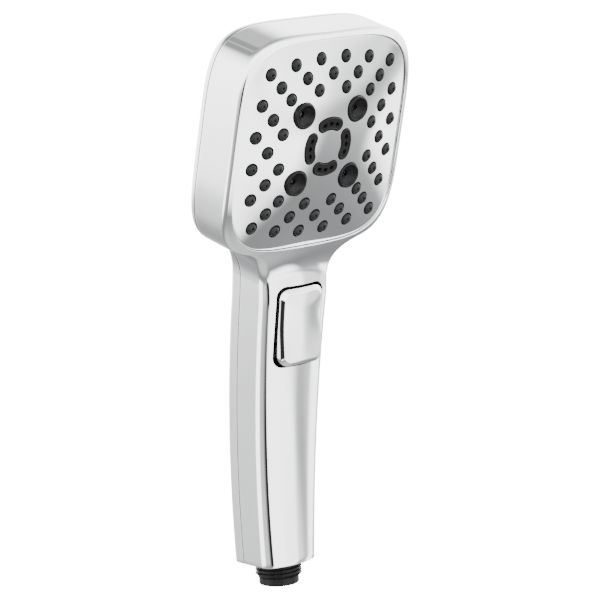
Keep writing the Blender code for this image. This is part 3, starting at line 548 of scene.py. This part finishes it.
# half of a cover between an outer and an inner skin, then its mirror image
def coverMesh(name, depthOf, corners, toward, ribs, ends, turn):
    b = bodyShape
    bm = bmesh.new()

    def skin(offset, fine):
        grid = []
        for i, (point, way, stage, shrink) in enumerate(ribs):
            inward = offset + (shrink if fine else 0.0)
            edge = (point[0] + way[0] * inward, point[1] + way[1] * inward)
            level = mix(*b["splits"], smooth(*b["splitRises"], point[1])) + toward * b["gap"] / 2
            row = []
            for a in (0.0, math.pi / 4, math.pi / 2):
                tuck = b["lip"] * (1 - math.sin(a)) if fine else 0.0
                rise = b["lip"] * (1 - math.cos(a)) if fine else b["lip"] * a / (math.pi / 2)
                row.append(onSpine(edge[0] + way[0] * tuck, edge[1] + way[1] * tuck, level + toward * rise))
            low = level + toward * b["lip"]
            high = depthOf(edge[0], edge[1], 0.0, stage) - toward * inward
            for t in b["wallRows"]:
                row.append(onSpine(*edge, mix(low, high, t)))
            corner = mix(*corners, smooth(0, 1, stage))
            places = []
            for a in quarter(b["roundRows"]):
                inset = corner * (1 - math.cos(a))
                places.append(((edge[0] + way[0] * inset, edge[1] + way[1] * inset), inset, 0.0))
            start, end = places[-1][0], ends[i]
            span = math.hypot(end[0] - start[0], end[1] - start[1])
            lip = b["openingLip"] if i > turn else 0.0
            tail = lip / span if lip else 1 / b["frontRows"]
            for k in range(1, b["frontRows"] + 1):
                t = (1 - tail) * k / b["frontRows"]
                places.append(((mix(start[0], end[0], t), mix(start[1], end[1], t)), corner, 0.0))
            for k in range(1, b["lipRows"] + 1):
                a = math.pi / 2 * k / b["lipRows"]
                t = 1 - tail * (1 - math.sin(a)) if lip else 1 - tail * (1 - k / b["lipRows"])
                drop = lip * (1 - math.cos(a)) if fine else 0.0
                places.append(((mix(start[0], end[0], t), mix(start[1], end[1], t)), corner, drop))
            for at, inset, drop in places:
                row.append(onSpine(*at, depthOf(at[0], at[1], inset, stage) - toward * (inward + drop)))
            grid.append([bm.verts.new(p) for p in row])
        return grid

    outer, inner = skin(0.0, True), skin(b["wall"], False)
    for grid in (outer, inner):
        for one, two in zip(grid, grid[1:]):
            for j in range(len(one) - 1):
                made = bm.faces.new((one[j], two[j], two[j + 1], one[j + 1]))
                # the inner skin, the lip rows and the split faces take the dark unplated finish, painted
                # shade in the gap between the covers
                made.material_index = 0 if grid is outer and j > 1 else 1
    for i in range(len(ribs) - 1):
        bm.faces.new((outer[i][0], inner[i][0], inner[i + 1][0], outer[i + 1][0])).material_index = 1
        if i >= turn:
            bm.faces.new((outer[i][-1], outer[i + 1][-1], inner[i + 1][-1], inner[i][-1]))
    for j in range(len(outer[0]) - 1):
        bm.faces.new((outer[0][j], outer[0][j + 1], inner[0][j + 1], inner[0][j]))
    half = bm.verts[:] + bm.edges[:] + bm.faces[:]
    copied = bmesh.ops.duplicate(bm, geom=half)["geom"]
    for vert in (v for v in copied if isinstance(v, bmesh.types.BMVert)):
        vert.co.x = -vert.co.x
    return finishMesh(bm, name)


def makeCovers():
    b, w = bodyShape, windowShape
    ribs, headAngle = bodyRibs()
    ends, turn = openingEnds(ribs, headAngle)
    whole = coverMesh("frontCover", frontDepth, b["frontCorners"], -1, ribs, ends, turn)
    outline = rectRing(w["halfX"], w["low"], w["high"], w["corner"], 14, 12)
    rings = [[onSpine(x, s, depth) for x, s in outline] for depth in (w["front"], w["back"])]
    window = loft("window", rings)
    # the window's wall takes the dark unplated finish, painted shade in the gap round the paddle
    for polygon in window.polygons:
        polygon.material_index = 1
    for mesh in (whole, window):
        for finish in ("chrome", "unplated"):
            mesh.materials.append(finishOf[finish])
    cut = combine(whole, window, "DIFFERENCE")
    keepNormals(cut, whole)
    addPiece("frontCover", cut, "chrome", "body", "front_cover", more=("unplated",))
    ends, turn = rearEnds(ribs)
    rear = coverMesh("rearCover", rearDepth, b["rearCorners"], 1, ribs, ends, turn)
    addPiece("rearCover", rear, "chrome", "body", "rear_cover", more=("unplated",))


faceShape = {
    "half": 46.7, "power": 4.0, "thick": 1.8, "edge": 0.25,
    "rise": 6.0, "domeHalf": 47.3, "around": 208, "rings": 48,
    "nozzleHole": 3.0, "funnelHole": 5.95, "jetGap": 0.3, "cut": (-12, 8),
    "sideFacing": 0.3, "backFacing": 0.7,  # past these the plate's skin takes the dark unplated finish, painted shade on the hole walls
}

matShape = {"half": 43.6, "front": 2.1, "back": 3.3, "around": 64, "rings": 10}

nozzleShape = {
    "rings": ((34.05, 6), (28.1, 5), (22.6, 4)), "bow": 0.14, "pull": 0.033,
    "radius": 2.5, "height": 3.75, "seat": 2.5, "sides": 24,
    "profile": ((0.0, 0.0), (1.0, 0.0), (1.0, 0.3), (0.985, 0.56), (0.93, 0.72), (0.86, 0.82),
                (0.74, 0.905), (0.56, 0.965), (0.38, 0.992), (0.29, 1.0), (0.22, 0.985), (0.2, 0.94),
                (0.18, 0.62), (0.0, 0.6)),
}

funnelShape = {
    "at": 15.05, "sides": 56,
    "profile": ((5.65, 3.0), (5.65, -0.35), (5.6, -0.65), (5.42, -0.92), (5.15, -1.08), (4.85, -1.1),
                (4.6, -0.98), (4.42, -0.72), (4.2, -0.3), (3.4, 0.25), (2.3, 0.95), (1.55, 1.4),
                (1.25, 1.6), (1.1, 1.95), (1.1, 3.0)),
}

jetShape = {
    "radius": 10.34, "halfWidth": 2.7, "halfAngle": math.radians(24), "sink": 3.0, "proud": 0.6,
    "edge": 0.5, "slotSpread": 0.8, "slotLong": 1.15, "slotWide": 0.8, "slotSides": 20,
    "inside": ((0.15, 0.0), (0.4, 0.18)),  # inward, back
    "slotLevels": ((-3, 1.3), (-0.25, 1.0), (1.0, 0.75)),  # back, size
}


def dome(x, z):
    f = faceShape
    return -f["rise"] * (1 - (x / f["domeHalf"]) ** 2) * (1 - (z / f["domeHalf"]) ** 2)


def nozzlePlaces():
    n = nozzleShape
    places = []
    for half, count in n["rings"]:
        for side in range(4):
            for i in range(count - 1):
                t = -1 + 2 * i / (count - 1)
                across = half * t * (1 - n["pull"] * (t * t - 1))
                out = half * (1 + n["bow"] * (1 - t * t))
                turn = side * math.pi / 2
                places.append((across * math.cos(turn) - out * math.sin(turn),
                               across * math.sin(turn) + out * math.cos(turn)))
    return places


def funnelPlaces():
    at = funnelShape["at"]
    return [(sx * at, sz * at) for sx in (-1, 1) for sz in (-1, 1)]


# a kidney on a circle round the middle, with round ends
def jetOutline(turn, margin, steps=15, ends=9):
    j = jetShape
    half = j["halfWidth"] + margin
    out = []
    for r, first, last in ((j["radius"] + half, -1, 1), (j["radius"] - half, 1, -1)):
        for t in evenly(first, last, steps):
            a = turn + t * j["halfAngle"]
            out.append((r * math.cos(a), r * math.sin(a)))
        a = turn + last * j["halfAngle"]
        cx, cz = j["radius"] * math.cos(a), j["radius"] * math.sin(a)
        for k in range(1, ends):
            sweep = math.pi * k / ends
            b = a + sweep if last > 0 else a + math.pi + sweep
            out.append((cx + half * math.cos(b), cz + half * math.sin(b)))
    return out


# front and back follow the dome, a rounded edge between them
def domedPlate(name, half, front, back, around, rings, edge):
    power = faceShape["power"]
    outlines = [(half, back)]
    if edge:
        outlines.append((half, front + edge))
    for a in quarter(5) if edge else [math.pi / 2]:
        outlines.append((half - edge * (1 - math.cos(a)), front + edge * (1 - math.sin(a))))
    for share in evenly(1.0, 0.02, rings)[1:]:
        outlines.append(((half - edge) * share, front))
    grid = []
    for size, offset in outlines:
        grid.append([(x, dome(x, z) + offset, z) for x, z in squareRing(size, power, around)])
    behind = []
    for share in (0.02, 0.3, 0.6, 0.9):
        behind.append([(x, dome(x, z) + back, z) for x, z in squareRing(half * share, power, around)])
    return loft(name, behind + grid)


# round cutters in several places, then one for each jet
def faceHoles(*rounds):
    holes = []
    for radius, sides, places in rounds:
        for x, z in places:
            holes.append(lathe("hole", [(radius, y) for y in faceShape["cut"]], sides, "Y", (x, 0, z), False))
    for k in range(4):
        outline = jetOutline(k * math.pi / 2, faceShape["jetGap"])
        holes.append(loft("hole", [[(x, y, z) for x, z in outline] for y in faceShape["cut"]]))
    return joinMeshes("holes", holes)


def makeFaceplate():
    f = faceShape
    whole = domedPlate("sprayFaceplate", f["half"], 0.0, f["thick"], f["around"], f["rings"], f["edge"])
    holes = faceHoles((f["nozzleHole"], 36, nozzlePlaces()), (f["funnelHole"], 56, funnelPlaces()))
    cut = combine(whole.copy(), holes, "DIFFERENCE")
    # hole walls and the plate's back take the dark unplated finish, painted shade inside the holes
    for polygon in cut.polygons:
        if abs(polygon.normal.y) < f["sideFacing"] or polygon.normal.y > f["backFacing"]:
            polygon.material_index = 1
    for mesh in (whole, cut):
        mesh.transform(headMatrix())
    cut.shade_smooth()
    cut.set_sharp_from_angle(angle=sharpAngle)
    keepNormals(cut, whole)
    addPiece("sprayFaceplate", cut, "chrome", "body", "spray_faceplate", more=("unplated",))


# a curve through (0..1, 0..1) points with straight runs between them
def floatCurve(tree, points):
    node = tree.nodes.new("ShaderNodeFloatCurve")
    curve = node.mapping.curves[0]
    while len(curve.points) < len(points):
        curve.points.new(0.5, 0.5)
    for spot, (at, value) in zip(curve.points, points):
        spot.location = (at, value)
        spot.handle_type = "VECTOR"
    node.mapping.update()
    return node


# turns the nozzle's profile into a rubber tip and sets one on every point
def makeNozzleTree(profile):
    tree = bpy.data.node_groups.new("nozzleField", "GeometryNodeTree")
    for label, kind in (("Geometry", "Geometry"), ("Radius", "Float"), ("Height", "Float"), ("Sides", "Int"),
                        ("Finish", "Material")):
        tree.interface.new_socket(label, in_out="INPUT", socket_type="NodeSocket" + kind)
    tree.interface.new_socket("Geometry", in_out="OUTPUT", socket_type="NodeSocketGeometry")
    nodes, links = tree.nodes, tree.links
    start, end = nodes.new("NodeGroupInput"), nodes.new("NodeGroupOutput")

    def step(*terms):
        return mathStep(tree, *terms)

    around = step("ADD", start.outputs["Sides"], 1.0)
    grid = nodes.new("GeometryNodeMeshGrid")
    grid.inputs["Size X"].default_value = 1.0
    grid.inputs["Size Y"].default_value = 1.0
    grid.inputs["Vertices Y"].default_value = len(profile)
    links.new(around, grid.inputs["Vertices X"])
    position = nodes.new("GeometryNodeInputPosition")
    split = nodes.new("ShaderNodeSeparateXYZ")
    links.new(position.outputs["Position"], split.inputs["Vector"])
    angle = step("MULTIPLY", step("ADD", split.outputs["X"], 0.5), 2 * math.pi)
    along = step("ADD", split.outputs["Y"], 0.5)
    steps = evenly(0.0, 1.0, len(profile))
    radii = floatCurve(tree, [(t, p[0]) for t, p in zip(steps, profile)])
    heights = floatCurve(tree, [(t, p[1]) for t, p in zip(steps, profile)])
    for node in (radii, heights):
        links.new(along, node.inputs["Value"])
    radius = step("MULTIPLY", radii.outputs["Value"], start.outputs["Radius"])
    height = step("MULTIPLY", heights.outputs["Value"], start.outputs["Height"])
    place = nodes.new("ShaderNodeCombineXYZ")
    links.new(step("MULTIPLY", radius, step("COSINE", angle)), place.inputs["X"])
    links.new(step("MULTIPLY", height, -1.0), place.inputs["Y"])
    links.new(step("MULTIPLY", radius, step("SINE", angle)), place.inputs["Z"])
    shape = nodes.new("GeometryNodeSetPosition")
    links.new(grid.outputs["Mesh"], shape.inputs["Geometry"])
    links.new(place.outputs["Vector"], shape.inputs["Position"])
    weld = nodes.new("GeometryNodeMergeByDistance")
    weld.inputs["Distance"].default_value = 0.0005
    links.new(shape.outputs["Geometry"], weld.inputs["Geometry"])
    seats = nodes.new("GeometryNodeInstanceOnPoints")
    links.new(start.outputs["Geometry"], seats.inputs["Points"])
    links.new(weld.outputs["Geometry"], seats.inputs["Instance"])
    real = nodes.new("GeometryNodeRealizeInstances")
    links.new(seats.outputs["Instances"], real.inputs["Geometry"])
    finish = nodes.new("GeometryNodeSetMaterial")
    links.new(real.outputs["Geometry"], finish.inputs["Geometry"])
    links.new(start.outputs["Finish"], finish.inputs["Material"])
    links.new(finish.outputs["Geometry"], end.inputs["Geometry"])
    return tree


# runs a node tree on a mesh and returns what it makes as a plain mesh
def grownMesh(name, base, tree, values):
    grower = bpy.data.objects.new("grower", base)
    bpy.context.scene.collection.objects.link(grower)
    step = grower.modifiers.new("grow", "NODES")
    step.node_group = tree
    for item in tree.interface.items_tree:
        if item.in_out == "INPUT" and item.name in values:
            step[item.identifier] = values[item.name]
    graph = bpy.context.evaluated_depsgraph_get()
    made = bpy.data.meshes.new_from_object(grower.evaluated_get(graph))
    bpy.data.objects.remove(grower)
    bm = bmesh.new()
    bm.from_mesh(made)
    return finishMesh(bm, name, 1e-4)


def makeNozzles():
    n, m = nozzleShape, matShape
    seats = bpy.data.meshes.new("nozzleSeats")
    seats.from_pydata([(x, dome(x, z) + n["seat"], z) for x, z in nozzlePlaces()], [], [])
    values = {label: n[label.lower()] for label in ("Radius", "Height", "Sides")}
    values["Finish"] = finishOf["grey_silicone"]
    mesh = grownMesh("sprayNozzles", seats, makeNozzleTree(n["profile"]), values)
    mesh.transform(headMatrix())
    addPiece("sprayNozzles", mesh, "grey_silicone", "body", "nozzle_mat")
    plate = domedPlate("nozzleMat", m["half"], m["front"], m["back"], m["around"], m["rings"], 0.0)
    plate = combine(plate, faceHoles((faceShape["funnelHole"], 40, funnelPlaces())), "DIFFERENCE")
    plate.transform(headMatrix())
    addPiece("nozzleMat", plate, "grey_silicone", "body", "nozzle_mat")


def makeFunnels():
    f = funnelShape
    for k, (x, z) in enumerate(funnelPlaces()):
        front = dome(x, z)
        mesh = lathe("funnelNozzle", [(r, front + h) for r, h in f["profile"]], f["sides"], "Y", (x, 0, z))
        mesh.transform(headMatrix())
        addPiece(f"funnelNozzle{k + 1}", mesh, "black_plastic", "body", f"funnel_nozzle_{k + 1}")


def makeJets():
    j = jetShape
    front = dome(j["radius"], 0)
    for k in range(4):
        turn = k * math.pi / 2
        levels = [(0.0, front + j["sink"]), (0.0, front - j["proud"] + j["edge"])]
        for a in quarter(5):
            y = front - j["proud"] + j["edge"] * (1 - math.sin(a))
            levels.append((-j["edge"] * (1 - math.cos(a)), y))
        for inward, behind in j["inside"]:
            levels.append((-j["edge"] - inward, front - j["proud"] + behind))
        mesh = loft("massageJet", [[(x, y, z) for x, z in jetOutline(turn, margin)] for margin, y in levels])
        slots = []
        for step in (-1, 0, 1):
            a = turn + step * j["halfAngle"] * j["slotSpread"]
            cx, cz = j["radius"] * math.cos(a), j["radius"] * math.sin(a)
            rings = []
            for behind, grow in j["slotLevels"]:
                ring = []
                for i in range(j["slotSides"]):
                    b = 2 * math.pi * i / j["slotSides"]
                    p, q = j["slotWide"] * grow * math.cos(b), j["slotLong"] * grow * math.sin(b)
                    x, z = cx + p * math.cos(a) - q * math.sin(a), cz + p * math.sin(a) + q * math.cos(a)
                    ring.append((x, front + behind, z))
                rings.append(ring)
            slots.append(loft("slot", rings))
        mesh = combine(mesh, joinMeshes("slots", slots), "DIFFERENCE")
        mesh.transform(headMatrix())
        addPiece(f"massageJet{k + 1}", mesh, "black_plastic", "body", f"massage_jet_{k + 1}")


paddleShape = {
    "half": 12.2, "low": 105.3, "high": 140.6, "lowDepth": -18.3, "highDepth": -15.6,
    "corner": 4.6, "back": -10.0, "edge": 1.9, "crownEnds": 0.55, "crownMiddle": 1.25,
    "chamfer": ((0.0, 1.62), (0.03, 1.48), (0.1, 1.35), (0.2, 1.24), (0.33, 1.13), (0.9, 0.69), (1.47, 0.24),
                (1.58, 0.14), (1.7, 0.05), (1.9, 0.0)),
    "skirt": 4.0, "rings": 26,
    "lugAt": 9.5, "lugHalf": 1.6, "lugRoot": -11.0, "lugRound": 2.4,
    "pinAlong": 136.0, "pinDepth": -7.2, "pinHole": 1.15, "pinSides": 24,
}


def paddleFace(x, along):
    p = paddleShape
    t = (along - p["low"]) / (p["high"] - p["low"])
    crown = mix(p["crownEnds"], p["crownMiddle"], smooth(0, 0.5, 0.5 - abs(t - 0.5)))
    across = min(abs(x) / (p["half"] - p["edge"]), 1.0)
    return mix(p["lowDepth"], p["highDepth"], t) + crown * across**2


def makePaddle():
    p = paddleShape

    def ring(inset, drop):
        out = []
        corner = p["corner"] - inset * 0.5
        for x, s in rectRing(p["half"] - inset, p["low"] + inset, p["high"] - inset, corner, 12, 8):
            out.append(onSpine(x, s, p["back"] if drop is None else paddleFace(x, s) + drop))
        return out

    rings = [ring(0.0, None), ring(0.0, p["skirt"])] + [ring(inset, drop) for inset, drop in p["chamfer"]]
    edge = p["edge"]
    outline = rectRing(p["half"] - edge, p["low"] + edge, p["high"] - edge, p["corner"] - edge / 2, 12, 8)
    middle = (p["low"] + p["high"]) / 2
    for share in evenly(1.0, 0.0, p["rings"])[1:-1] + [0.01]:
        spots = [(x * share, middle + (s - middle) * share) for x, s in outline]
        rings.append([onSpine(x, s, paddleFace(x, s)) for x, s in spots])
    mesh = loft("thumbPaddle", rings)
    for at in (-p["lugAt"], p["lugAt"]):
        outline = [(p["lugRound"], p["lugRoot"]), (-p["lugRound"], p["lugRoot"])]
        for a in evenly(math.pi, 0.0, 13):
            outline.append((p["lugRound"] * math.cos(a), p["pinDepth"] + p["lugRound"] * math.sin(a)))
        sides = (at - p["lugHalf"], at + p["lugHalf"])
        lug = loft("lug", [[onSpine(x, p["pinAlong"] + s, d) for s, d in outline] for x in sides])
        mesh = combine(mesh, lug, "UNION")
    pin = []
    for x in (-p["half"] - 2, p["half"] + 2):
        turns = [2 * math.pi * i / p["pinSides"] for i in range(p["pinSides"])]
        spots = [(p["pinHole"] * math.cos(a), p["pinHole"] * math.sin(a)) for a in turns]
        pin.append([onSpine(x, p["pinAlong"] + s, p["pinDepth"] + d) for s, d in spots])
    mesh = combine(mesh, loft("pinHole", pin), "DIFFERENCE")
    addPiece("thumbPaddle", mesh, "chrome", "paddle", "thumb_paddle")


inletShape = {
    "bore": 6.8, "lip": 9.04, "lipHeight": 3.3, "major": 10.45, "minor": 9.3, "pitch": 1.814,
    "threadFrom": 3.4, "threadTo": 13.4, "flange": 11.4, "flangeHeight": 2.6, "top": 36.0, "sides": 96,
    "crest": 0.13, "root": 0.36, "runIn": 0.9, "runOut": 1.2,
    "sleeve": 8.6, "socket": 5.7, "socketFloor": 27.0, "way": 3.0, "boreTop": 25.0,
}

capShape = {
    "foot": 10.9, "top": 12.9, "outlineAt": 12.0, "inset": 2.3, "hole": 10.75, "cut": (5, 20), "across": 25,
}


# radius of the pipe thread: a ridge that climbs one pitch each turn and runs out at both ends
def threadRadius(angle, z):
    s = inletShape
    turn = (z - s["threadFrom"]) / s["pitch"] - angle / (2 * math.pi)
    off = abs(turn - math.floor(turn) - 0.5)
    ridge = 1 - smooth(s["crest"], s["root"], off)
    start = smooth(s["threadFrom"], s["threadFrom"] + s["runIn"], z)
    end = smooth(s["threadTo"] - s["runOut"], s["threadTo"], z)
    return s["minor"] + (s["major"] - s["minor"]) * ridge * (start * (1 - end))


def makeInlet():
    s = inletShape
    rows = [(s["bore"], 0.35), (s["bore"] + 0.1, 0.1), (s["bore"] + 0.35, 0.0), (s["lip"] - 0.5, 0.0)]
    rows += [(s["lip"] - 0.5 * (1 - math.sin(a)), 0.5 * (1 - math.cos(a))) for a in quarter(5)]
    rows += [(s["lip"], 1.5), (s["lip"], s["lipHeight"] - 0.1)]
    steps = int((s["threadTo"] - s["threadFrom"]) / 0.1)
    rows += [(None, z) for z in evenly(s["threadFrom"], s["threadTo"], steps)]
    top = s["threadTo"] + 0.1
    rows += [(s["minor"] + 0.4, top), (s["flange"] - 0.3, top), (s["flange"], top + 0.3)]
    rows += [(s["flange"], top + s["flangeHeight"]), (s["sleeve"], top + s["flangeHeight"] + 0.1)]
    rows += [(s["sleeve"], s["top"]), (s["socket"], s["top"]), (s["socket"], s["socketFloor"])]
    rows += [(s["way"], s["socketFloor"]), (s["way"], s["boreTop"]), (s["bore"], s["boreTop"])]
    rings = []
    for r, z in rows:
        ring = []
        for i in range(s["sides"]):
            a = 2 * math.pi * i / s["sides"]
            radius = threadRadius(a, z) if r is None else r
            ring.append(Vector((radius * math.cos(a), radius * math.sin(a), z)) * mm)
        rings.append(ring)
    addPiece("inletFitting", loft("inletFitting", rings, True), "black_plastic", "body", "inlet_fitting")


def makeEndCap():
    c = capShape
    along = c["outlineAt"]
    front, rear = [], []
    edge = handleHalf(along) - c["inset"]
    for t in evenly(-1, 1, c["across"]):
        x = edge * math.sin(t * math.pi / 2)
        out = edge - abs(x)
        front.append((x, frontDepth(x, along, out, 0) + c["inset"]))
        rear.append((x, rearDepth(x, along, out, 0) - c["inset"]))
    loop = front + rear[::-1]
    rings = [[onSpine(x, s, d) for x, d in loop] for s in (c["foot"], c["top"])]
    hole = lathe("hole", [(c["hole"], z) for z in c["cut"]], 64, "Z", (0, 0, 0), False)
    hole.transform(Matrix.Scale(mm, 4))
    mesh = combine(loft("handleEndCap", rings), hole, "DIFFERENCE")
    addPiece("handleEndCap", mesh, "black_plastic", "body", "handle_end_cap")


# the inner springs, each a coil of round wire rising from its foot
springShape = {
    "steps": 20, "sides": 8,
    # CAD node, joint, travel, foot, height, coil radius, wire radius, turns
    "returnSpring": ("return_spring", "rod_slide", 3.3, (11.0, 14.3, -35.9), 16.5, 2.5, 0.35, 7),
    "checkValveSpring": ("check_valve_spring", "check_valve_lift", 1.8, (0.0, 0.0, 18.5), 4.4, 2.0, 0.25, 4),
}


def makeSprings():
    s = springShape
    for name, place in (("returnSpring", headMatrix()), ("checkValveSpring", Matrix.Scale(mm, 4))):
        node, joint, travel, foot, height, radius, wire, turns = s[name]
        rings = []
        for i in range(turns * s["steps"] + 1):
            turn = i / s["steps"]
            z = mix(foot[2] + wire, foot[2] + height - wire, turn / turns)
            a = 2 * math.pi * turn
            way = Vector((math.cos(a), math.sin(a), 0.0))
            middle = Vector((foot[0], foot[1], z)) + way * radius
            ring = []
            for k in range(s["sides"]):
                b = 2 * math.pi * k / s["sides"]
                ring.append(middle + wire * (math.cos(b) * way + math.sin(b) * Vector((0.0, 0.0, 1.0))))
            rings.append(ring)
        mesh = loft(name, rings)
        mesh.transform(place)
        piece = addPiece(name, mesh, "stainless_steel", "body", node)
        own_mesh(piece)


makeCovers()
makeFaceplate()
makeNozzles()
makeFunnels()
makeJets()
makePaddle()
makeInlet()
makeEndCap()
makeSprings()


room = {
    "backdrop": 18.0, "floorZ": -0.03, "floorHalf": 4.0, "brightest": 6.0,
    # light by elevation
    "levels": (
        (-90, 1.0), (-60, 0.9), (-46, 0.45), (-36, 0.42), (-26, 0.7), (-21, 1.12), (-17, 1.35), (-12, 1.65),
        (-9, 2.4), (-5, 4.4), (20, 5.0), (34, 4.2), (50, 2.0), (62, 0.7), (90, 0.8),
    ),
    # name, azimuth, elevation, half width, half height, soft edge, light, lean (azimuth for each degree up)
    "panels": (
        ("key box", -84.0, -22.0, 36.0, 17.0, 12.0, 4.3, 0.0),
        ("key box, upper half", -58.0, -12.0, 14.0, 8.0, 12.0, 3.6, 0.0),
        ("right box", -15.0, -19.0, 9.0, 7.0, 7.0, 4.2, 0.0),
        ("front wall", -34.0, -10.0, 12.0, 10.0, 10.0, 1.9, 0.0),
        ("front edge", -35.0, -19.5, 8.0, 5.0, 14.0, 0.72, 2.8),
        ("rear side box", 162.0, -14.0, 22.0, 12.0, 10.0, 4.6, 0.0),
        ("rear ceiling", 62.0, 54.0, 26.0, 16.0, 18.0, 0.9, 0.0),
        ("rear ceiling, side", 106.0, 57.0, 22.0, 13.0, 12.0, 0.5, 0.0),
        ("ceiling lamp", 109.0, 58.0, 3.0, 14.0, 3.0, 0.9, 0.0),
        ("camera side", -128.0, -23.0, 13.0, 9.0, 9.0, 0.4, 0.0),
        ("lens flag", -119.0, -18.0, 12.0, 10.0, 8.0, 0.03, 0.0),
    ),
}

panelInputs = (
    "Middle Azimuth", "Middle Elevation", "Half Width", "Half Height", "Soft Edge", "Light", "Lean",
)


# the light a direction meets: what was there, or a soft-edged panel in front of it, angles in degrees
def makePanelGroup():
    labels = ("Azimuth", "Elevation", "Behind", *panelInputs)
    group, start, end = newGroup("softPanel", [(label, "NodeSocketFloat", 0.0) for label in labels],
                                 [("Light", "NodeSocketFloat")])
    links = group.links
    given = start.outputs

    def step(*terms):
        return mathStep(group, *terms)

    def inside(off, half):
        ramp = addNode(group, "MapRange", {"To Min": 1.0, "To Max": 0.0})
        ramp.interpolation_type = "SMOOTHSTEP"
        links.new(step("ABSOLUTE", off), ramp.inputs["Value"])
        fade = step("MULTIPLY", given["Soft Edge"], 0.5)
        links.new(step("SUBTRACT", half, fade), ramp.inputs["From Min"])
        links.new(step("ADD", half, fade), ramp.inputs["From Max"])
        return ramp.outputs["Result"]

    rise = step("SUBTRACT", given["Elevation"], given["Middle Elevation"])
    middle = step("ADD", given["Middle Azimuth"], step("MULTIPLY", rise, given["Lean"]))
    turn = step("WRAP", step("SUBTRACT", given["Azimuth"], middle), 180.0, -180.0)
    mask = step("MULTIPLY", inside(turn, given["Half Width"]), inside(rise, given["Half Height"]))
    more = step("MULTIPLY", step("SUBTRACT", given["Light"], given["Behind"]), mask)
    links.new(step("ADD", given["Behind"], more), end.inputs["Light"])
    return group


def makeWorld():
    world = bpy.data.worlds.new("studio")
    bpy.context.scene.world = world
    world.use_nodes = True
    tree = world.node_tree
    nodes, links = tree.nodes, tree.links
    back = nodes["Background"]
    back.inputs["Color"].default_value = (1.0, 1.0, 1.0, 1.0)
    way = nodes.new("ShaderNodeTexCoord")
    parts = nodes.new("ShaderNodeSeparateXYZ")
    links.new(way.outputs["Generated"], parts.inputs["Vector"])
    toDegrees = 180 / math.pi
    turn = mathStep(tree, "ARCTAN2", parts.outputs["Y"], parts.outputs["X"])
    azimuth = mathStep(tree, "MULTIPLY", turn, toDegrees)
    elevation = mathStep(tree, "MULTIPLY", mathStep(tree, "ARCSINE", parts.outputs["Z"]), toDegrees)
    levels = nodes.new("ShaderNodeValToRGB")
    levels.color_ramp.interpolation = "CARDINAL"
    stops = levels.color_ramp.elements
    while len(stops) < len(room["levels"]):
        stops.new(0.5)
    for stop, (height, light) in zip(stops, room["levels"]):
        stop.position = (height + 90) / 180
        stop.color = (light / room["brightest"],) * 3 + (1.0,)
    links.new(mathStep(tree, "MULTIPLY_ADD", elevation, 1 / 180, 0.5), levels.inputs["Fac"])
    split = nodes.new("ShaderNodeSeparateColor")
    links.new(levels.outputs["Color"], split.inputs["Color"])
    light = mathStep(tree, "MULTIPLY", split.outputs["Red"], room["brightest"])
    group = makePanelGroup()
    for name, *sizes in room["panels"]:
        panel = nodes.new("ShaderNodeGroup")
        panel.node_tree = group
        panel.label = name
        for label, source in (("Azimuth", azimuth), ("Elevation", elevation), ("Behind", light)):
            links.new(source, panel.inputs[label])
        for label, size in zip(panelInputs, sizes):
            panel.inputs[label].default_value = size
        light = panel.outputs["Light"]
    seen = nodes.new("ShaderNodeLightPath")
    pick = nodes.new("ShaderNodeMix")
    links.new(seen.outputs["Is Camera Ray"], pick.inputs["Factor"])
    links.new(light, pick.inputs["A"])
    pick.inputs["B"].default_value = room["backdrop"]
    links.new(pick.outputs["Result"], back.inputs["Strength"])


def makeFloor():
    half, z = room["floorHalf"], room["floorZ"]
    mesh = bpy.data.meshes.new("floor")
    corners = [(x * half, y * half, z) for x, y in ((-1, -1), (1, -1), (1, 1), (-1, 1))]
    mesh.from_pydata(corners, [], [(0, 1, 2, 3)])
    floor = bpy.data.objects.new("floor", mesh)
    bpy.context.scene.collection.objects.link(floor)
    look = bpy.data.materials.new("paleFloor")
    look.use_nodes = True
    nodes, links = look.node_tree.nodes, look.node_tree.links
    nodes.remove(nodes["Principled BSDF"])
    glow = nodes.new("ShaderNodeEmission")
    glow.inputs["Strength"].default_value = room["backdrop"]
    clear = nodes.new("ShaderNodeBsdfTransparent")
    pick = nodes.new("ShaderNodeMixShader")
    path = nodes.new("ShaderNodeLightPath")
    links.new(path.outputs["Is Camera Ray"], pick.inputs["Fac"])
    links.new(clear.outputs["BSDF"], pick.inputs[1])
    links.new(glow.outputs["Emission"], pick.inputs[2])
    links.new(pick.outputs["Shader"], nodes["Material Output"].inputs["Surface"])
    mesh.materials.append(look)


def makeCamera():
    view = {"azimuth": -41.36, "elevation": 9.29, "roll": -3.26, "lens": 169.7,
            "place": (-0.8037, -0.9379, 0.3297)}
    data = bpy.data.cameras.new("camera")
    data.lens = view["lens"]
    data.sensor_width = 36.0
    data.clip_start = 0.01
    camera = bpy.data.objects.new("camera", data)
    turn = Matrix.Rotation(math.radians(view["azimuth"]), 4, "Z")
    turn = turn @ Matrix.Rotation(math.radians(90 - view["elevation"]), 4, "X")
    turn = turn @ Matrix.Rotation(math.radians(view["roll"]), 4, "Z")
    camera.matrix_world = Matrix.Translation(view["place"]) @ turn
    bpy.context.scene.collection.objects.link(camera)
    bpy.context.scene.camera = camera


makeWorld()
makeFloor()
makeCamera()
print("room and camera ready")
